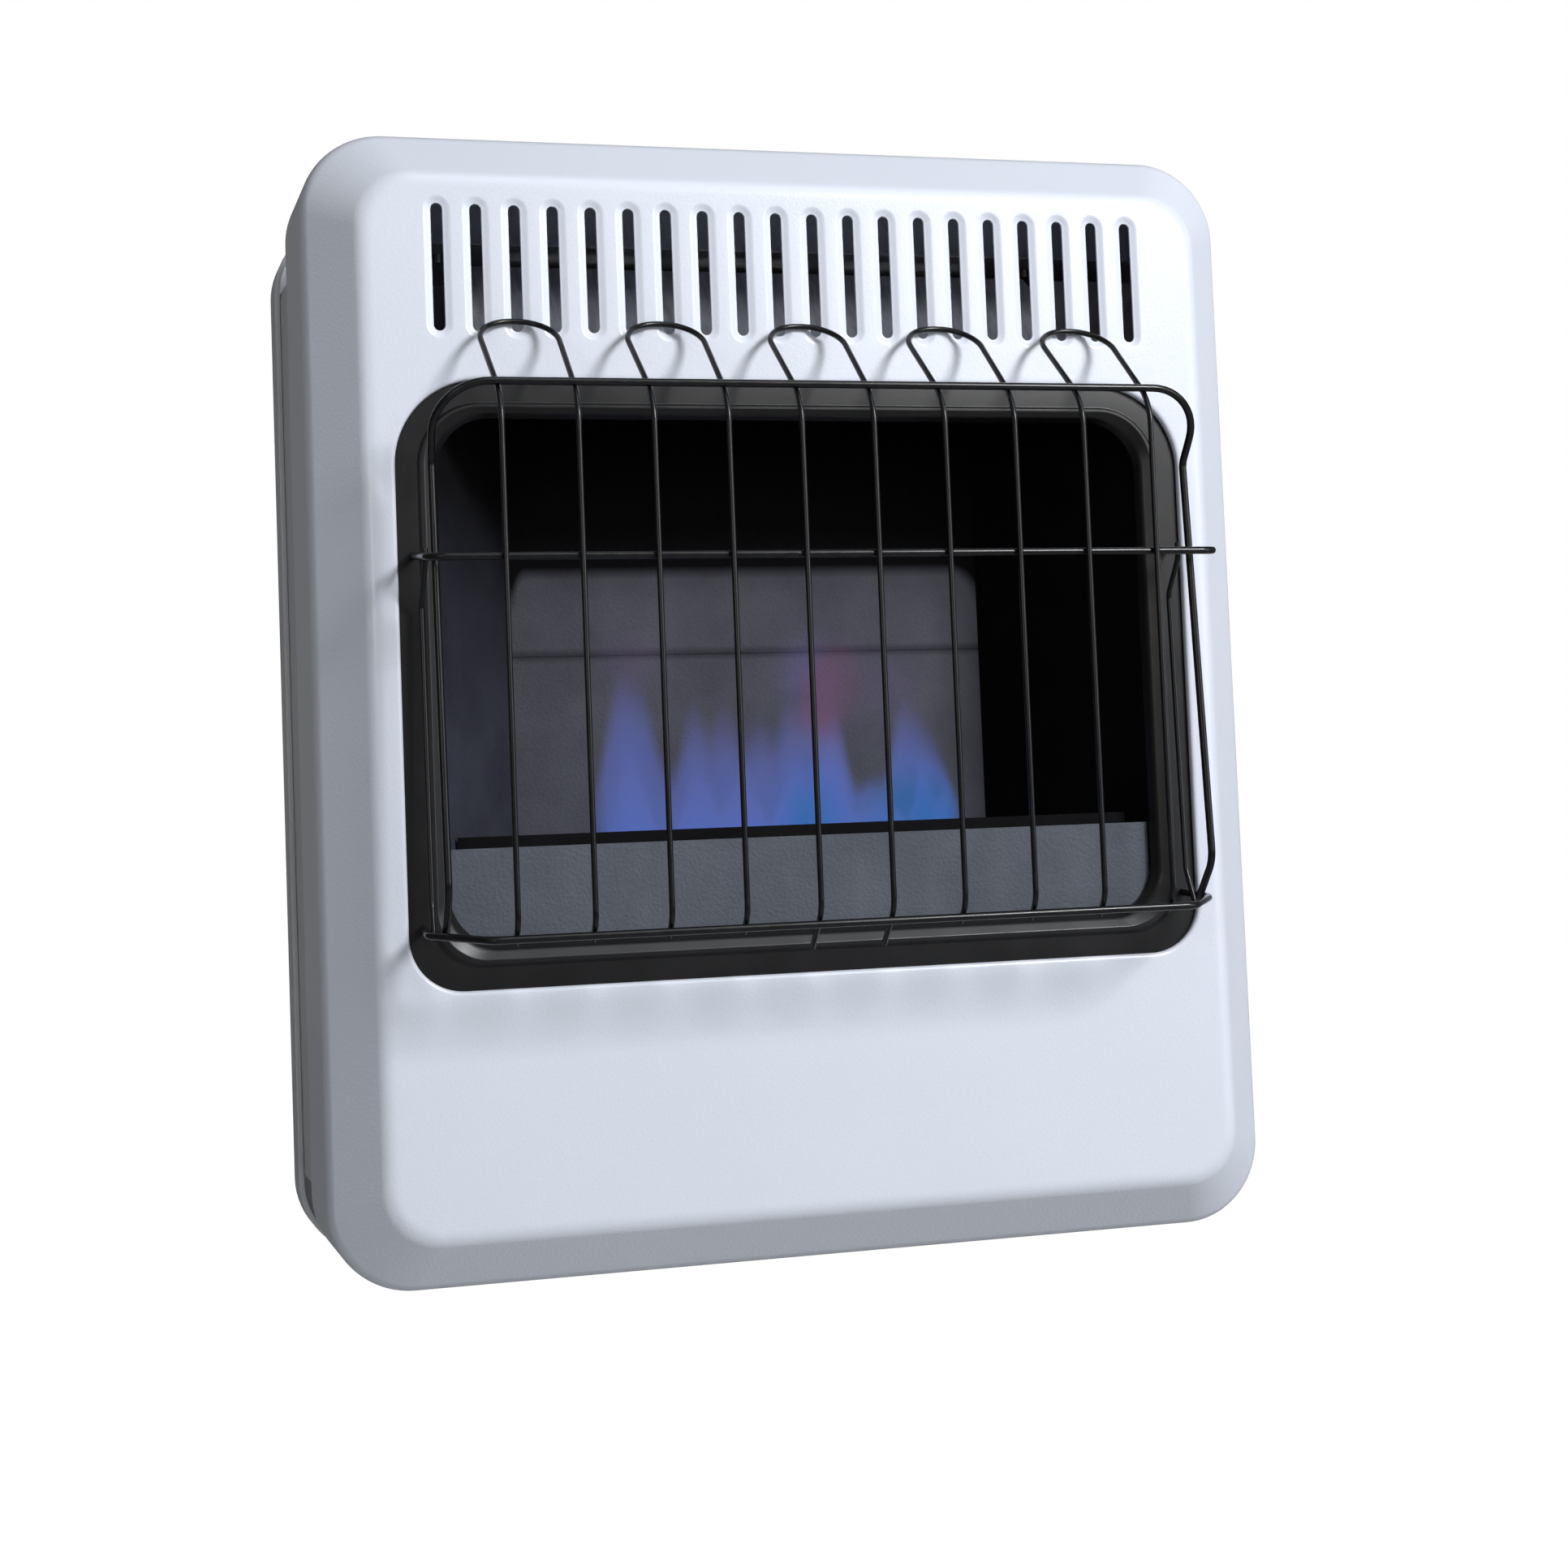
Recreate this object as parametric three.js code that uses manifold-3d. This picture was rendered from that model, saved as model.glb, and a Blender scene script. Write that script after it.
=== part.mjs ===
// Vent-free blue flame wall heater: a pressed cover over a wall casing, with a burner, a gas train and a wire guard.
// Millimetres, +Z up. The wall is the plane y = 0, the room is towards -Y, and z = 0 is the cabinet's mid-height.
import * as THREE from 'three';
import { mergeVertices } from 'three/addons/utils/BufferGeometryUtils.js';
import Module from 'manifold-3d';

const wasm = await Module();
wasm.setup();

// Driving dimensions of the cabinet
const cabinetWidth = 520;
const cabinetHeight = 600;
const cabinetDepth = 190;
const coverDepth = 100;
const coverCornerRadius = 44;
const faceCornerRadius = 28;
const bevelRun = 28;
const bevelRise = 27.5;
const sheet = 1;

// Clearances shared by the pieces
const fitGap = 0.3;
const runningGap = 0.15;
const casingGap = 2.2;
const cutOverrun = 4;

// Window in the cover
const windowSideMargin = 42;
const windowSill = 152.5;
const windowHeadroom = 134;
const windowTopRadius = 45;
const windowBottomRadius = 28;
const windowLipDepth = 3.7;

// Louvre slots in the cover
const slotCount = 20;
const slotSideInset = 67.15;
const slotWidth = 6;
const slotLength = 66.6;
const slotTopDrop = 42.2;
const slotRecessDepth = 1.3;
const slotRecessMargin = 3;

// Casing behind the cover
const casingTopDrop = 44;
const casingBottomRise = 45;
const casingOverlap = 20;
const casingFlange = 14;
const trayFlange = 12;
const coverTabLength = 14;
const coverTabSetback = 30;
const coverReturn = 26;
const panTopDrop = 14.6;
const panCornerRadius = 42;
const panReturn = 25;

// Wall bracket and the recess that takes it
const bracketSideInset = 80;
const bracketHeight = 34;
const bracketThickness = 1.5;
const bracketDrop = 66;
const bracketHookWidth = 30;
const bracketHookInset = 60;
const bracketHookLip = 12;
const recessMargin = 12;
const recessDepth = 5;
const bracketHoleRadius = 3.5;
const wallHoleInset = 20;
const wallHoleRise = 55;

// Black trim round the fire opening
const trimTuck = 9;
const trimFlangeWidth = 12;
const trimBandWidth = 10.6;
const trimTopBandWidth = 6.8;
const trimLowRadius = 26;
const trimHighRadius = 28;
const trimBead = 1.6;
const trimDepth = 9;
const trimReturn = 14;
const hookHoleRadius = 3.6;
const hookHoleInset = 8;
const upperHookDrop = 90.5;
const lowerHookRise = 33;

// Combustion chamber
const chamberTaper = 55.4;
const chamberDepth = 107;
const chamberFlange = 13;
const chamberSillDrop = 18.5;
const seamDrop = 136;
const seamOverlap = 8;
const roofFrontRise = 1;
const roofHeadroom = 14.2;
const roofMargin = 3;
const roofSlopeDepth = 70;
const roofOutletRib = 14;
const roofOutletDepth = 20;
const roofOutletCount = 3;
const shelfFrontSetback = 1;
const shelfGapInset = 24;

// Front baffle and the black burner cover behind it
const baffleRise = 71.9;
const baffleHem = 7;
const burnerCoverRise = 6;
const burnerCoverSetback = 13;
const burnerCoverDrop = 26;

// Burner, its mixer and its brackets
const burnerDiameter = 30;
const burnerWall = 1.5;
const burnerEndInset = 25;
const burnerMouthOverrun = 5;
const burnerSetback = 57;
const burnerTopDrop = 0.8;
const portCount = 14;
const portWidth = 3;
const portLength = 12;
const mixerThroatDiameter = 20;
const mixerLength = 46;
const saddleWidth = 14;
const saddleInset = 31;

// Injector
const injectorBodyDiameter = 15;
const injectorLength = 16;
const injectorNozzleDiameter = 7;
const injectorNozzleLength = 8;
const injectorStubLength = 12;
const injectorMountWidth = 36;
const injectorMountHeight = 44;

// Oxygen-sensing pilot
const pilotSideInset = 13;
const pilotForward = 27;
const pilotTubeRadius = 4;
const pilotLength = 25;
const pilotRise = 17;
const pilotPlateWidth = 46;
const pilotPlateDepth = 18;
const electrodeRadius = 2.6;
const thermocoupleRadius = 2.2;
const pilotPieceSpacing = 15;
const leadSpacing = 5;
const leadLaneInset = 28.8;
const leadTurnY = -100;
const leadTurnRise = 5;
const leadDropRise = 35;
const leadDropStep = 10;
const pilotPlateDrop = 30;

// Gas valve and its bracket
const controlSideInset = 55;
const controlDepthShare = 0.5556;
const valveWidth = 50;
const valveDepth = 50;
const valveHeight = 42;
const valveTopDrop = 26;
const valveBossRadius = 14;
const valveBossHeight = 14;
const valvePortRadius = 7;
const valvePortLength = 8;
const camRadius = 6;
const camBoreWidth = 6.6;
const camHeight = 16;
const valveBracketSetback = 75;
const valveBracketRearShare = 0.26;
const valveBracketRise = 14;
const valvePlateRise = 53.5;

// Control knob and spindle
const spindleWidth = 6;
const knobRadius = 21;
const knobHeight = 20;
const knobGripWidth = 10;
const knobGripHeight = 9;
const knobPressTravel = 3.5;
const knobPressSlack = 1;
const knobSocketDepth = 11;

// Push-button igniter
const igniterSpacing = 66;
const igniterBodyRadius = 8;
const igniterBodyLength = 46;
const igniterCollarRadius = 13;
const igniterCollarHeight = 4;
const igniterButtonRadius = 6;
const igniterTravel = 6;
const igniterCrown = 4;
const igniterSleeveDepth = 12;

// Dial plate printed round the controls
const dialThickness = 0.5;
const dialMargin = 34;

// Regulator, inlet and tubes
const regulatorRadius = 28;
const regulatorThickness = 20;
const regulatorBlockWidth = 30;
const regulatorBlockDepth = 24;
const regulatorBlockHeight = 64;
const regulatorRise = 26;
const regulatorCapRadius = 11;
const regulatorCapLength = 10;
const inletRadius = 8;
const inletNutRadius = 12;
const inletNutHeight = 12;
const inletLength = 18;
const supplyTubeRadius = 5;
const burnerTubeRadius = 4;
const pilotPipeRadius = 2.5;
const leadRadius = 1.6;
const capillaryRadius = 1.2;
const tubeBend = 12;
const burnerTubeUpperRise = 96;
const burnerTubeLowerRise = 60;
const bulbRadius = 4.5;
const bulbLength = 80;
const bulbRise = 16;
const bulbSetback = 22;

// Wire guard
const uprightDiameter = 3;
const railDiameter = 4;
const guardStandOff = 62;
const uprightCount = 10;
const uprightSideInset = 44;
const hairpinBendDrop = 18.9;
const hairpinApexRise = 30;
const hairpinFlare = 1.5;
const leanBend = 28;
const footBend = 16;
const guardTopDrop = 11;
const guardCorner = 30;
const guardCornerFlare = 2.5;
const frameSideInset = 13;
const frameShoulderStandOff = 33.4;
const frameShoulderDrop = 48;
const frameKneeStandOff = 46.4;
const frameKneeRise = 23;
const frameFootStandOff = 29;
const frameFootGap = 0.4;
const midRailSideInset = 6;
const midRailDrop = 98.2;
const bottomRailSideInset = 31;
const bottomRailRise = 27.4;
const returnSideInset = 5.5;
const returnStandOff = 25;
const returnRise = 2.6;
const railTurn = 10;
const legBendRise = 33.5;
const legPastRail = 2.8;
const restingLegDrop = 12.4;
const sideWireInset = 10.5;
const sideWireStandOff = 3;
const sideWireTopDrop = 18;
const sideWireLowStandOff = 8;
const sideWireLowRise = 45;
const sideWireTopStandOff = 18;
const sideWireFootStandOff = 16;
const sideWireEnd = 4;
const wireBend = 9;
const weldGap = 0.12;
const hookReach = 3;

// Cover screws
const screwHeadRadius = 4.2;
const screwHeadHeight = 2.4;
const screwShankRadius = 1.9;
const screwLength = 7;
const screwSideInset = 55;

// Counts of flat sides and steps that stand for round shapes
const cornerSteps = 5;
const panCornerSteps = 8;
const wireSides = 8;
const rodSides = 16;
const slotEndSteps = 4;

// Places worked out from the driving dimensions
const faceY = -cabinetDepth;
const coverRearY = faceY + coverDepth;
const halfWidth = cabinetWidth / 2;
const topZ = cabinetHeight / 2;
const bottomZ = -topZ;
const windowHalf = halfWidth - windowSideMargin;
const windowLowZ = bottomZ + windowSill;
const windowHighZ = topZ - windowHeadroom;
const slotPitch = (cabinetWidth - 2 * slotSideInset) / (slotCount - 1);
const casingHalf = halfWidth - sheet - casingGap;
const casingTopZ = topZ - casingTopDrop;
const casingBottomZ = bottomZ + casingBottomRise;
const casingFrontY = coverRearY - casingOverlap;
const innerWallY = -sheet - fitGap;
const bracketHalf = halfWidth - bracketSideInset;
const bracketZ = casingTopZ - bracketDrop;
const bracketHookX = bracketHalf - bracketHookInset;
const wallHoleX = bracketHalf - wallHoleInset;
const wallHoleZ = casingBottomZ + wallHoleRise;
const trimPlaneY = faceY + windowLipDepth + fitGap;
const trimRearY = trimPlaneY + trimDepth;
const chamberFrontY = trimRearY + fitGap;
const chamberBackY = chamberFrontY + chamberDepth;
const openingHalf = windowHalf - trimFlangeWidth - trimBandWidth;
const chamberFrontHalf = openingHalf + sheet;
const chamberBackHalf = chamberFrontHalf - chamberTaper;
const floorZ = windowLowZ + chamberSillDrop;
const roofFrontZ = windowHighZ - trimFlangeWidth - trimTopBandWidth + roofFrontRise;
const roofTopZ = casingTopZ - roofHeadroom;
const roofRise = roofTopZ - roofFrontZ;
const roofBendY = chamberFrontY + roofSlopeDepth;
const seamZ = windowHighZ - seamDrop;
const baffleTopZ = windowLowZ + baffleRise;
const burnerCoverTopZ = baffleTopZ + burnerCoverRise;
const burnerY = chamberFrontY + burnerSetback;
const burnerZ = burnerCoverTopZ - burnerTopDrop - burnerDiameter / 2;
const burnerLeftX = burnerEndInset - chamberBackHalf;
const burnerRightX = chamberBackHalf + burnerMouthOverrun;
const saddleX = -burnerLeftX - saddleInset;
const controlX = casingHalf - controlSideInset;
const controlY = coverRearY * controlDepthShare;
const dialDepth = 2 * (controlY - coverRearY - coverTabLength - fitGap);
const valveTopZ = casingTopZ - valveTopDrop;
const valveBaseZ = valveTopZ - valveHeight;
const igniterX = controlX - igniterSpacing;
const wireReach = (uprightDiameter + railDiameter) / 2 + weldGap;
const guardY = faceY - guardStandOff;
const midRailY = guardY + wireReach;
const guardTopZ = windowHighZ - guardTopDrop;
const apexY = faceY - uprightDiameter / 2 - fitGap;
const apexZ = windowHighZ + hairpinApexRise;
const leanZ = windowHighZ - hairpinBendDrop;
const leanAngle = Math.atan2(apexY - guardY, apexZ - leanZ);
const leanStartZ = leanZ - leanBend * Math.tan(leanAngle / 2);
const frameWireY = guardY + leanBend - Math.sqrt((leanBend + wireReach) ** 2 - (guardTopZ - leanStartZ) ** 2);
const midRailZ = windowHighZ - midRailDrop;
const bottomRailZ = windowLowZ + bottomRailRise;
const legBendZ = windowLowZ + legBendRise;
const bottomRailY = guardY + (legBendZ - bottomRailZ) - wireReach * Math.SQRT2;
const upperHookZ = windowHighZ - upperHookDrop;
const lowerHookZ = windowLowZ + lowerHookRise;
const hookX = windowHalf - hookHoleInset;
const uprightPitch = (2 * (windowHalf - uprightSideInset)) / (uprightCount - 1);
const frameHalfWidth = windowHalf - frameSideInset;
const midRailHalfWidth = windowHalf - midRailSideInset;
const bottomRailHalfWidth = windowHalf - bottomRailSideInset;
const returnX = windowHalf - returnSideInset;
const sideWireX = windowHalf - sideWireInset;
const hookEndY = trimPlaneY + sheet + hookReach;

// Colour, roughness and metalness of each finish
const finishes = {
  white: { color: 0xe9ecf4, roughness: 0.3, metalness: 0 },
  casing: { color: 0xb9bbc0, roughness: 0.45, metalness: 0.2 },
  black: { color: 0x1c1a1a, roughness: 0.45, metalness: 0.3 },
  soot: { color: 0x2b2c30, roughness: 0.85, metalness: 0 },
  board: { color: 0x474b54, roughness: 0.95, metalness: 0 },
  zinc: { color: 0x9b9da1, roughness: 0.4, metalness: 0.8 },
  brass: { color: 0xb48a3c, roughness: 0.35, metalness: 0.9 },
  aluminium: { color: 0x9fa2a6, roughness: 0.5, metalness: 0.8 },
  plastic: { color: 0x171717, roughness: 0.5, metalness: 0 },
  red: { color: 0xa32218, roughness: 0.4, metalness: 0 },
  ceramic: { color: 0xe8e2d6, roughness: 0.4, metalness: 0 },
  rubber: { color: 0x2a2a2c, roughness: 0.8, metalness: 0 },
};

const heater = new THREE.Group();

function addPiece(name, finish, shape) {
  const geometry = shape.isBufferGeometry ? shape : geometryOf(shape);
  const piece = new THREE.Mesh(geometry, new THREE.MeshStandardMaterial(finishes[finish]));
  piece.name = name;
  heater.add(piece);
}

// Solids from geometries, for joining and cutting
function solidOf(geometry) {
  const bare = geometry.index ? geometry.toNonIndexed() : geometry.clone();
  bare.deleteAttribute('normal');
  bare.deleteAttribute('uv');
  const merged = mergeVertices(bare);
  const vertProperties = new Float32Array(merged.attributes.position.array);
  const triVerts = new Uint32Array(merged.index.array);
  return new wasm.Manifold(new wasm.Mesh({ numProp: 3, vertProperties, triVerts }));
}

function geometryOf(solid) {
  const mesh = solid.getMesh();
  const geometry = new THREE.BufferGeometry();
  geometry.setAttribute('position', new THREE.BufferAttribute(new Float32Array(mesh.vertProperties), 3));
  geometry.setIndex(new THREE.BufferAttribute(new Uint32Array(mesh.triVerts), 1));
  geometry.computeVertexNormals();
  return geometry;
}

function joined(solids) {
  return solids.reduce((whole, next) => whole.add(next));
}

function cutBy(solid, cutters) {
  return cutters.reduce((rest, cutter) => rest.subtract(cutter), solid);
}

// Box between two corners
function block([lowX, lowY, lowZ], [highX, highY, highZ]) {
  const geometry = new THREE.BoxGeometry(highX - lowX, highY - lowY, highZ - lowZ);
  geometry.translate((lowX + highX) / 2, (lowY + highY) / 2, (lowZ + highZ) / 2);
  return solidOf(geometry);
}

// Round bar from one point to another
function bar(start, end, radius, sides = rodSides) {
  const from = new THREE.Vector3(...start);
  const to = new THREE.Vector3(...end);
  const along = to.clone().sub(from);
  const geometry = new THREE.CylinderGeometry(radius, radius, along.length(), sides);
  const turn = new THREE.Quaternion().setFromUnitVectors(new THREE.Vector3(0, 1, 0), along.clone().normalize());
  geometry.applyQuaternion(turn);
  geometry.translate(...from.add(to).multiplyScalar(1 / 2).toArray());
  return solidOf(geometry);
}

function shapeOf(points) {
  return new THREE.Shape(points.map(([u, v]) => new THREE.Vector2(u, v)));
}

function extruded(points, depth) {
  return new THREE.ExtrudeGeometry(shapeOf(points), { depth, bevelEnabled: false, steps: 1 });
}

// Outline in (y, z) run along X
function runAlongX(points, lowX, highX) {
  const geometry = extruded(points, highX - lowX);
  const axes = new THREE.Matrix4().makeBasis(
    new THREE.Vector3(0, 1, 0), new THREE.Vector3(0, 0, 1), new THREE.Vector3(1, 0, 0));
  geometry.applyMatrix4(axes);
  geometry.translate(lowX, 0, 0);
  return solidOf(geometry);
}

// Outline in (x, y) run up Z
function runUpZ(points, lowZ, highZ) {
  const geometry = extruded(points, highZ - lowZ);
  geometry.translate(0, 0, lowZ);
  return solidOf(geometry);
}

// Outline in (x, z) run from a rear plane towards the room
function runForward(points, rearY, depth) {
  const geometry = extruded(points, depth);
  const axes = new THREE.Matrix4().makeBasis(
    new THREE.Vector3(1, 0, 0), new THREE.Vector3(0, 0, 1), new THREE.Vector3(0, -1, 0));
  geometry.applyMatrix4(axes);
  geometry.translate(0, rearY, 0);
  return solidOf(geometry);
}

// Profile in (radius, height) turned about a vertical axis
function turnedAboutZ(profile, [x, y, z]) {
  const points = profile.map(([radius, height]) => new THREE.Vector2(radius, height));
  const geometry = new THREE.LatheGeometry(points, rodSides);
  geometry.rotateX(Math.PI / 2);
  geometry.translate(x, y, z);
  return solidOf(geometry);
}

// Profile in (radius, distance) turned about an axis along +X
function turnedAboutX(profile, [x, y, z]) {
  const points = profile.map(([radius, height]) => new THREE.Vector2(radius, height));
  const geometry = new THREE.LatheGeometry(points, rodSides);
  geometry.rotateZ(-Math.PI / 2);
  geometry.translate(x, y, z);
  return solidOf(geometry);
}

// Rectangle in (x, z) with round corners, anticlockwise from the lower right
function roundedOutline(halfSpan, lowZ, highZ, lowRadius, highRadius, steps = cornerSteps) {
  const corners = [
    { x: halfSpan - lowRadius, z: lowZ + lowRadius, radius: lowRadius, start: -Math.PI / 2 },
    { x: halfSpan - highRadius, z: highZ - highRadius, radius: highRadius, start: 0 },
    { x: highRadius - halfSpan, z: highZ - highRadius, radius: highRadius, start: Math.PI / 2 },
    { x: lowRadius - halfSpan, z: lowZ + lowRadius, radius: lowRadius, start: Math.PI },
  ];
  const outline = [];
  for (const corner of corners) {
    for (let step = 0; step <= steps; step += 1) {
      const angle = corner.start + (step / steps) * (Math.PI / 2);
      outline.push([corner.x + corner.radius * Math.cos(angle), corner.z + corner.radius * Math.sin(angle)]);
    }
  }
  return outline;
}

// Surface between like-numbered rings, each an outline in (x, z) at its own y
function ringSurface(rings, closesOnItself) {
  const count = rings[0].outline.length;
  const positions = [];
  for (const ring of rings) {
    for (const [x, z] of ring.outline) positions.push(x, ring.y, z);
  }
  const indices = [];
  const lastBand = closesOnItself ? rings.length : rings.length - 1;
  for (let band = 0; band < lastBand; band += 1) {
    const here = band * count;
    const next = ((band + 1) % rings.length) * count;
    for (let point = 0; point < count; point += 1) {
      const after = (point + 1) % count;
      indices.push(here + point, next + point, next + after);
      indices.push(here + point, next + after, here + after);
    }
  }
  if (!closesOnItself) {
    const far = (rings.length - 1) * count;
    for (let point = 1; point < count - 1; point += 1) {
      indices.push(0, point, point + 1);
      indices.push(far, far + point + 1, far + point);
    }
  }
  const geometry = new THREE.BufferGeometry();
  geometry.setAttribute('position', new THREE.BufferAttribute(new Float32Array(positions), 3));
  geometry.setIndex(indices);
  return solidOf(geometry);
}

// Path of straight runs joined by arcs, sampled only where it turns; a corner may carry a bend radius of its own
class BentPath extends THREE.Curve {
  constructor(corners, bendRadius) {
    super();
    this.places = [];
    this.headings = [];
    const points = corners.map(([x, y, z]) => new THREE.Vector3(x, y, z));
    const last = points.length - 1;
    this.addPlace(points[0], points[1].clone().sub(points[0]));
    for (let index = 1; index < last; index += 1) {
      const ownRadius = corners[index][3] ?? bendRadius;
      this.addBend(points, index, ownRadius);
    }
    this.addPlace(points[last], points[last].clone().sub(points[last - 1]));
  }

  addPlace(place, heading) {
    this.places.push(place.clone());
    this.headings.push(heading.clone().normalize());
  }

  addBend(points, index, bendRadius) {
    const arriving = points[index].clone().sub(points[index - 1]);
    const leaving = points[index + 1].clone().sub(points[index]);
    const room = Math.min(arriving.length(), leaving.length()) * bendRoomShare;
    arriving.normalize();
    leaving.normalize();
    const angle = arriving.angleTo(leaving);
    const setback = Math.min(bendRadius * Math.tan(angle / 2), room);
    const radius = setback / Math.tan(angle / 2);
    const start = points[index].clone().addScaledVector(arriving, -setback);
    const inward = leaving.clone().addScaledVector(arriving, -leaving.dot(arriving)).normalize();
    const steps = Math.max(2, Math.ceil(angle / bendStepAngle));
    for (let step = 0; step <= steps; step += 1) {
      const turned = (angle * step) / steps;
      const place = start.clone()
        .addScaledVector(arriving, radius * Math.sin(turned))
        .addScaledVector(inward, radius * (1 - Math.cos(turned)));
      const heading = arriving.clone().multiplyScalar(Math.cos(turned)).addScaledVector(inward, Math.sin(turned));
      this.addPlace(place, heading);
    }
  }

  get stepCount() {
    return this.places.length - 1;
  }

  getPoint(share) {
    const scaled = share * this.stepCount;
    const index = Math.min(Math.floor(scaled), this.stepCount - 1);
    return this.places[index].clone().lerp(this.places[index + 1], scaled - index);
  }

  getPointAt(share) {
    return this.getPoint(share);
  }

  getTangentAt(share) {
    return this.headings[Math.round(share * this.stepCount)].clone();
  }
}

const bendRoomShare = 0.49;
const bendStepAngle = Math.PI / 12;

function roundSection(radius, sides) {
  const points = [];
  for (let side = 0; side < sides; side += 1) {
    const angle = ((side + 1 / 2) / sides) * 2 * Math.PI;
    points.push([radius * Math.cos(angle), radius * Math.sin(angle)]);
  }
  return shapeOf(points);
}

// Wire, tube or lead along a bent path
function bentWire(corners, radius, bendRadius = tubeBend, sides = wireSides) {
  const path = new BentPath(corners, bendRadius);
  return new THREE.ExtrudeGeometry(roundSection(radius, sides), {
    steps: path.stepCount, extrudePath: path, bevelEnabled: false,
  });
}

// Front cover: face, bevel and side walls
function coverRings(inset, frontY, rearY) {
  const slopeLength = Math.hypot(bevelRun, bevelRise);
  const shrink = inset * (slopeLength - bevelRun) / bevelRise;
  const drop = inset * (slopeLength - bevelRise) / bevelRun;
  const faceInset = inset === 0 ? bevelRun : bevelRun + shrink;
  const wallStart = inset === 0 ? faceY + bevelRise : faceY + bevelRise + drop;
  const outline = (margin, radius) => roundedOutline(
    halfWidth - margin, bottomZ + margin, topZ - margin, radius, radius);
  return [
    { outline: outline(faceInset, faceCornerRadius + bevelRun - faceInset), y: frontY },
    { outline: outline(inset, coverCornerRadius - inset), y: wallStart },
    { outline: outline(inset, coverCornerRadius - inset), y: rearY },
  ];
}

function stadium(centreX, lowZ, highZ, radius) {
  const points = [];
  for (let step = 0; step <= slotEndSteps; step += 1) {
    const angle = Math.PI * (step / slotEndSteps);
    points.push([centreX + radius * Math.cos(angle), highZ - radius + radius * Math.sin(angle)]);
  }
  for (let step = 0; step <= slotEndSteps; step += 1) {
    const angle = Math.PI * (1 + step / slotEndSteps);
    points.push([centreX + radius * Math.cos(angle), lowZ + radius + radius * Math.sin(angle)]);
  }
  return points;
}

function slotDish(centreX, inset, extraDepth, frontY) {
  const highZ = topZ - slotTopDrop;
  const lowZ = highZ - slotLength;
  const reach = slotRecessMargin + inset;
  const floorReach = inset + sheet / 2;
  const floorY = faceY + slotRecessDepth + extraDepth;
  return ringSurface([
    { outline: stadium(centreX, lowZ - reach, highZ + reach, slotWidth / 2 + reach), y: frontY },
    { outline: stadium(centreX, lowZ - reach, highZ + reach, slotWidth / 2 + reach), y: faceY + extraDepth },
    { outline: stadium(centreX, lowZ - floorReach, highZ + floorReach, slotWidth / 2 + floorReach), y: floorY },
  ], false);
}

function windowOutline(inset) {
  return roundedOutline(
    windowHalf - inset, windowLowZ + inset, windowHighZ - inset,
    windowBottomRadius - inset, windowTopRadius - inset);
}

function frontCover() {
  const outer = ringSurface(coverRings(0, faceY, coverRearY), false);
  const inner = ringSurface(coverRings(sheet, faceY + sheet, coverRearY - sheet), false);
  const rearOpening = joined([
    block([-halfWidth + sheet, coverRearY - cutOverrun, casingBottomZ - fitGap - sheet],
      [halfWidth - sheet, coverRearY + cutOverrun, casingTopZ + fitGap]),
    runForward(roundedOutline(halfWidth - sheet - coverReturn, bottomZ + coverReturn, casingBottomZ, sheet, sheet),
      coverRearY + cutOverrun, 2 * cutOverrun),
  ]);
  const tabHalf = casingHalf - coverTabSetback;
  const topTab = block([-tabHalf, coverRearY - sheet, casingTopZ + fitGap],
    [tabHalf, coverRearY + coverTabLength, casingTopZ + fitGap + sheet]);
  const bottomTabs = [-1, 1].map((side) => {
    const ends = [side * (casingHalf - coverReturn + sheet), side * (casingHalf - coverReturn - 2 * screwSideInset)];
    return block([Math.min(...ends), coverRearY - sheet, casingBottomZ - fitGap - sheet],
      [Math.max(...ends), coverRearY + coverTabLength, casingBottomZ - fitGap]);
  });
  const tabWebs = [-1, 1].map((side) => {
    const ends = [side * (casingHalf - coverReturn + sheet), side * (casingHalf - coverReturn - 2 * screwSideInset)];
    return block([Math.min(...ends), coverRearY - sheet, bottomZ + sheet / 2],
      [Math.max(...ends), coverRearY, casingBottomZ - fitGap]);
  });
  const slotCentres = Array.from({ length: slotCount }, (_, index) => (index - (slotCount - 1) / 2) * slotPitch);
  const bosses = slotCentres.map((x) => slotDish(x, sheet, sheet, faceY + sheet / 2));
  const lip = ringSurface([
    { outline: windowOutline(-sheet), y: faceY + sheet / 2 },
    { outline: windowOutline(-sheet), y: faceY + windowLipDepth },
  ], false);
  const shell = joined([cutBy(outer, [inner, rearOpening]), topTab, ...tabWebs, ...bottomTabs, ...bosses, lip]);
  const dishes = slotCentres.map((x) => slotDish(x, 0, 0, faceY - cutOverrun));
  const highZ = topZ - slotTopDrop;
  const slots = slotCentres.map((x) => runForward(
    stadium(x, highZ - slotLength, highZ, slotWidth / 2), faceY + slotRecessDepth + cutOverrun, 3 * cutOverrun));
  const opening = runForward(windowOutline(0), faceY + windowLipDepth + cutOverrun, windowLipDepth + 2 * cutOverrun);
  return cutBy(shell, [...dishes, ...slots, opening, ...screwHoles()]);
}

// Screws that hold the cover's tabs to the casing
function screwPlaces() {
  const y = coverRearY + coverTabLength / 2;
  const x = casingHalf - coverReturn - screwSideInset;
  const topSeat = casingTopZ + fitGap + sheet;
  const bottomSeat = casingBottomZ - fitGap - sheet;
  return [
    { name: 'cover_screw_top_left', x: -x, y, seat: topSeat, way: 1 },
    { name: 'cover_screw_top_right', x, y, seat: topSeat, way: 1 },
    { name: 'cover_screw_bottom_left', x: -x, y, seat: bottomSeat, way: -1 },
    { name: 'cover_screw_bottom_right', x, y, seat: bottomSeat, way: -1 },
  ];
}

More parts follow.
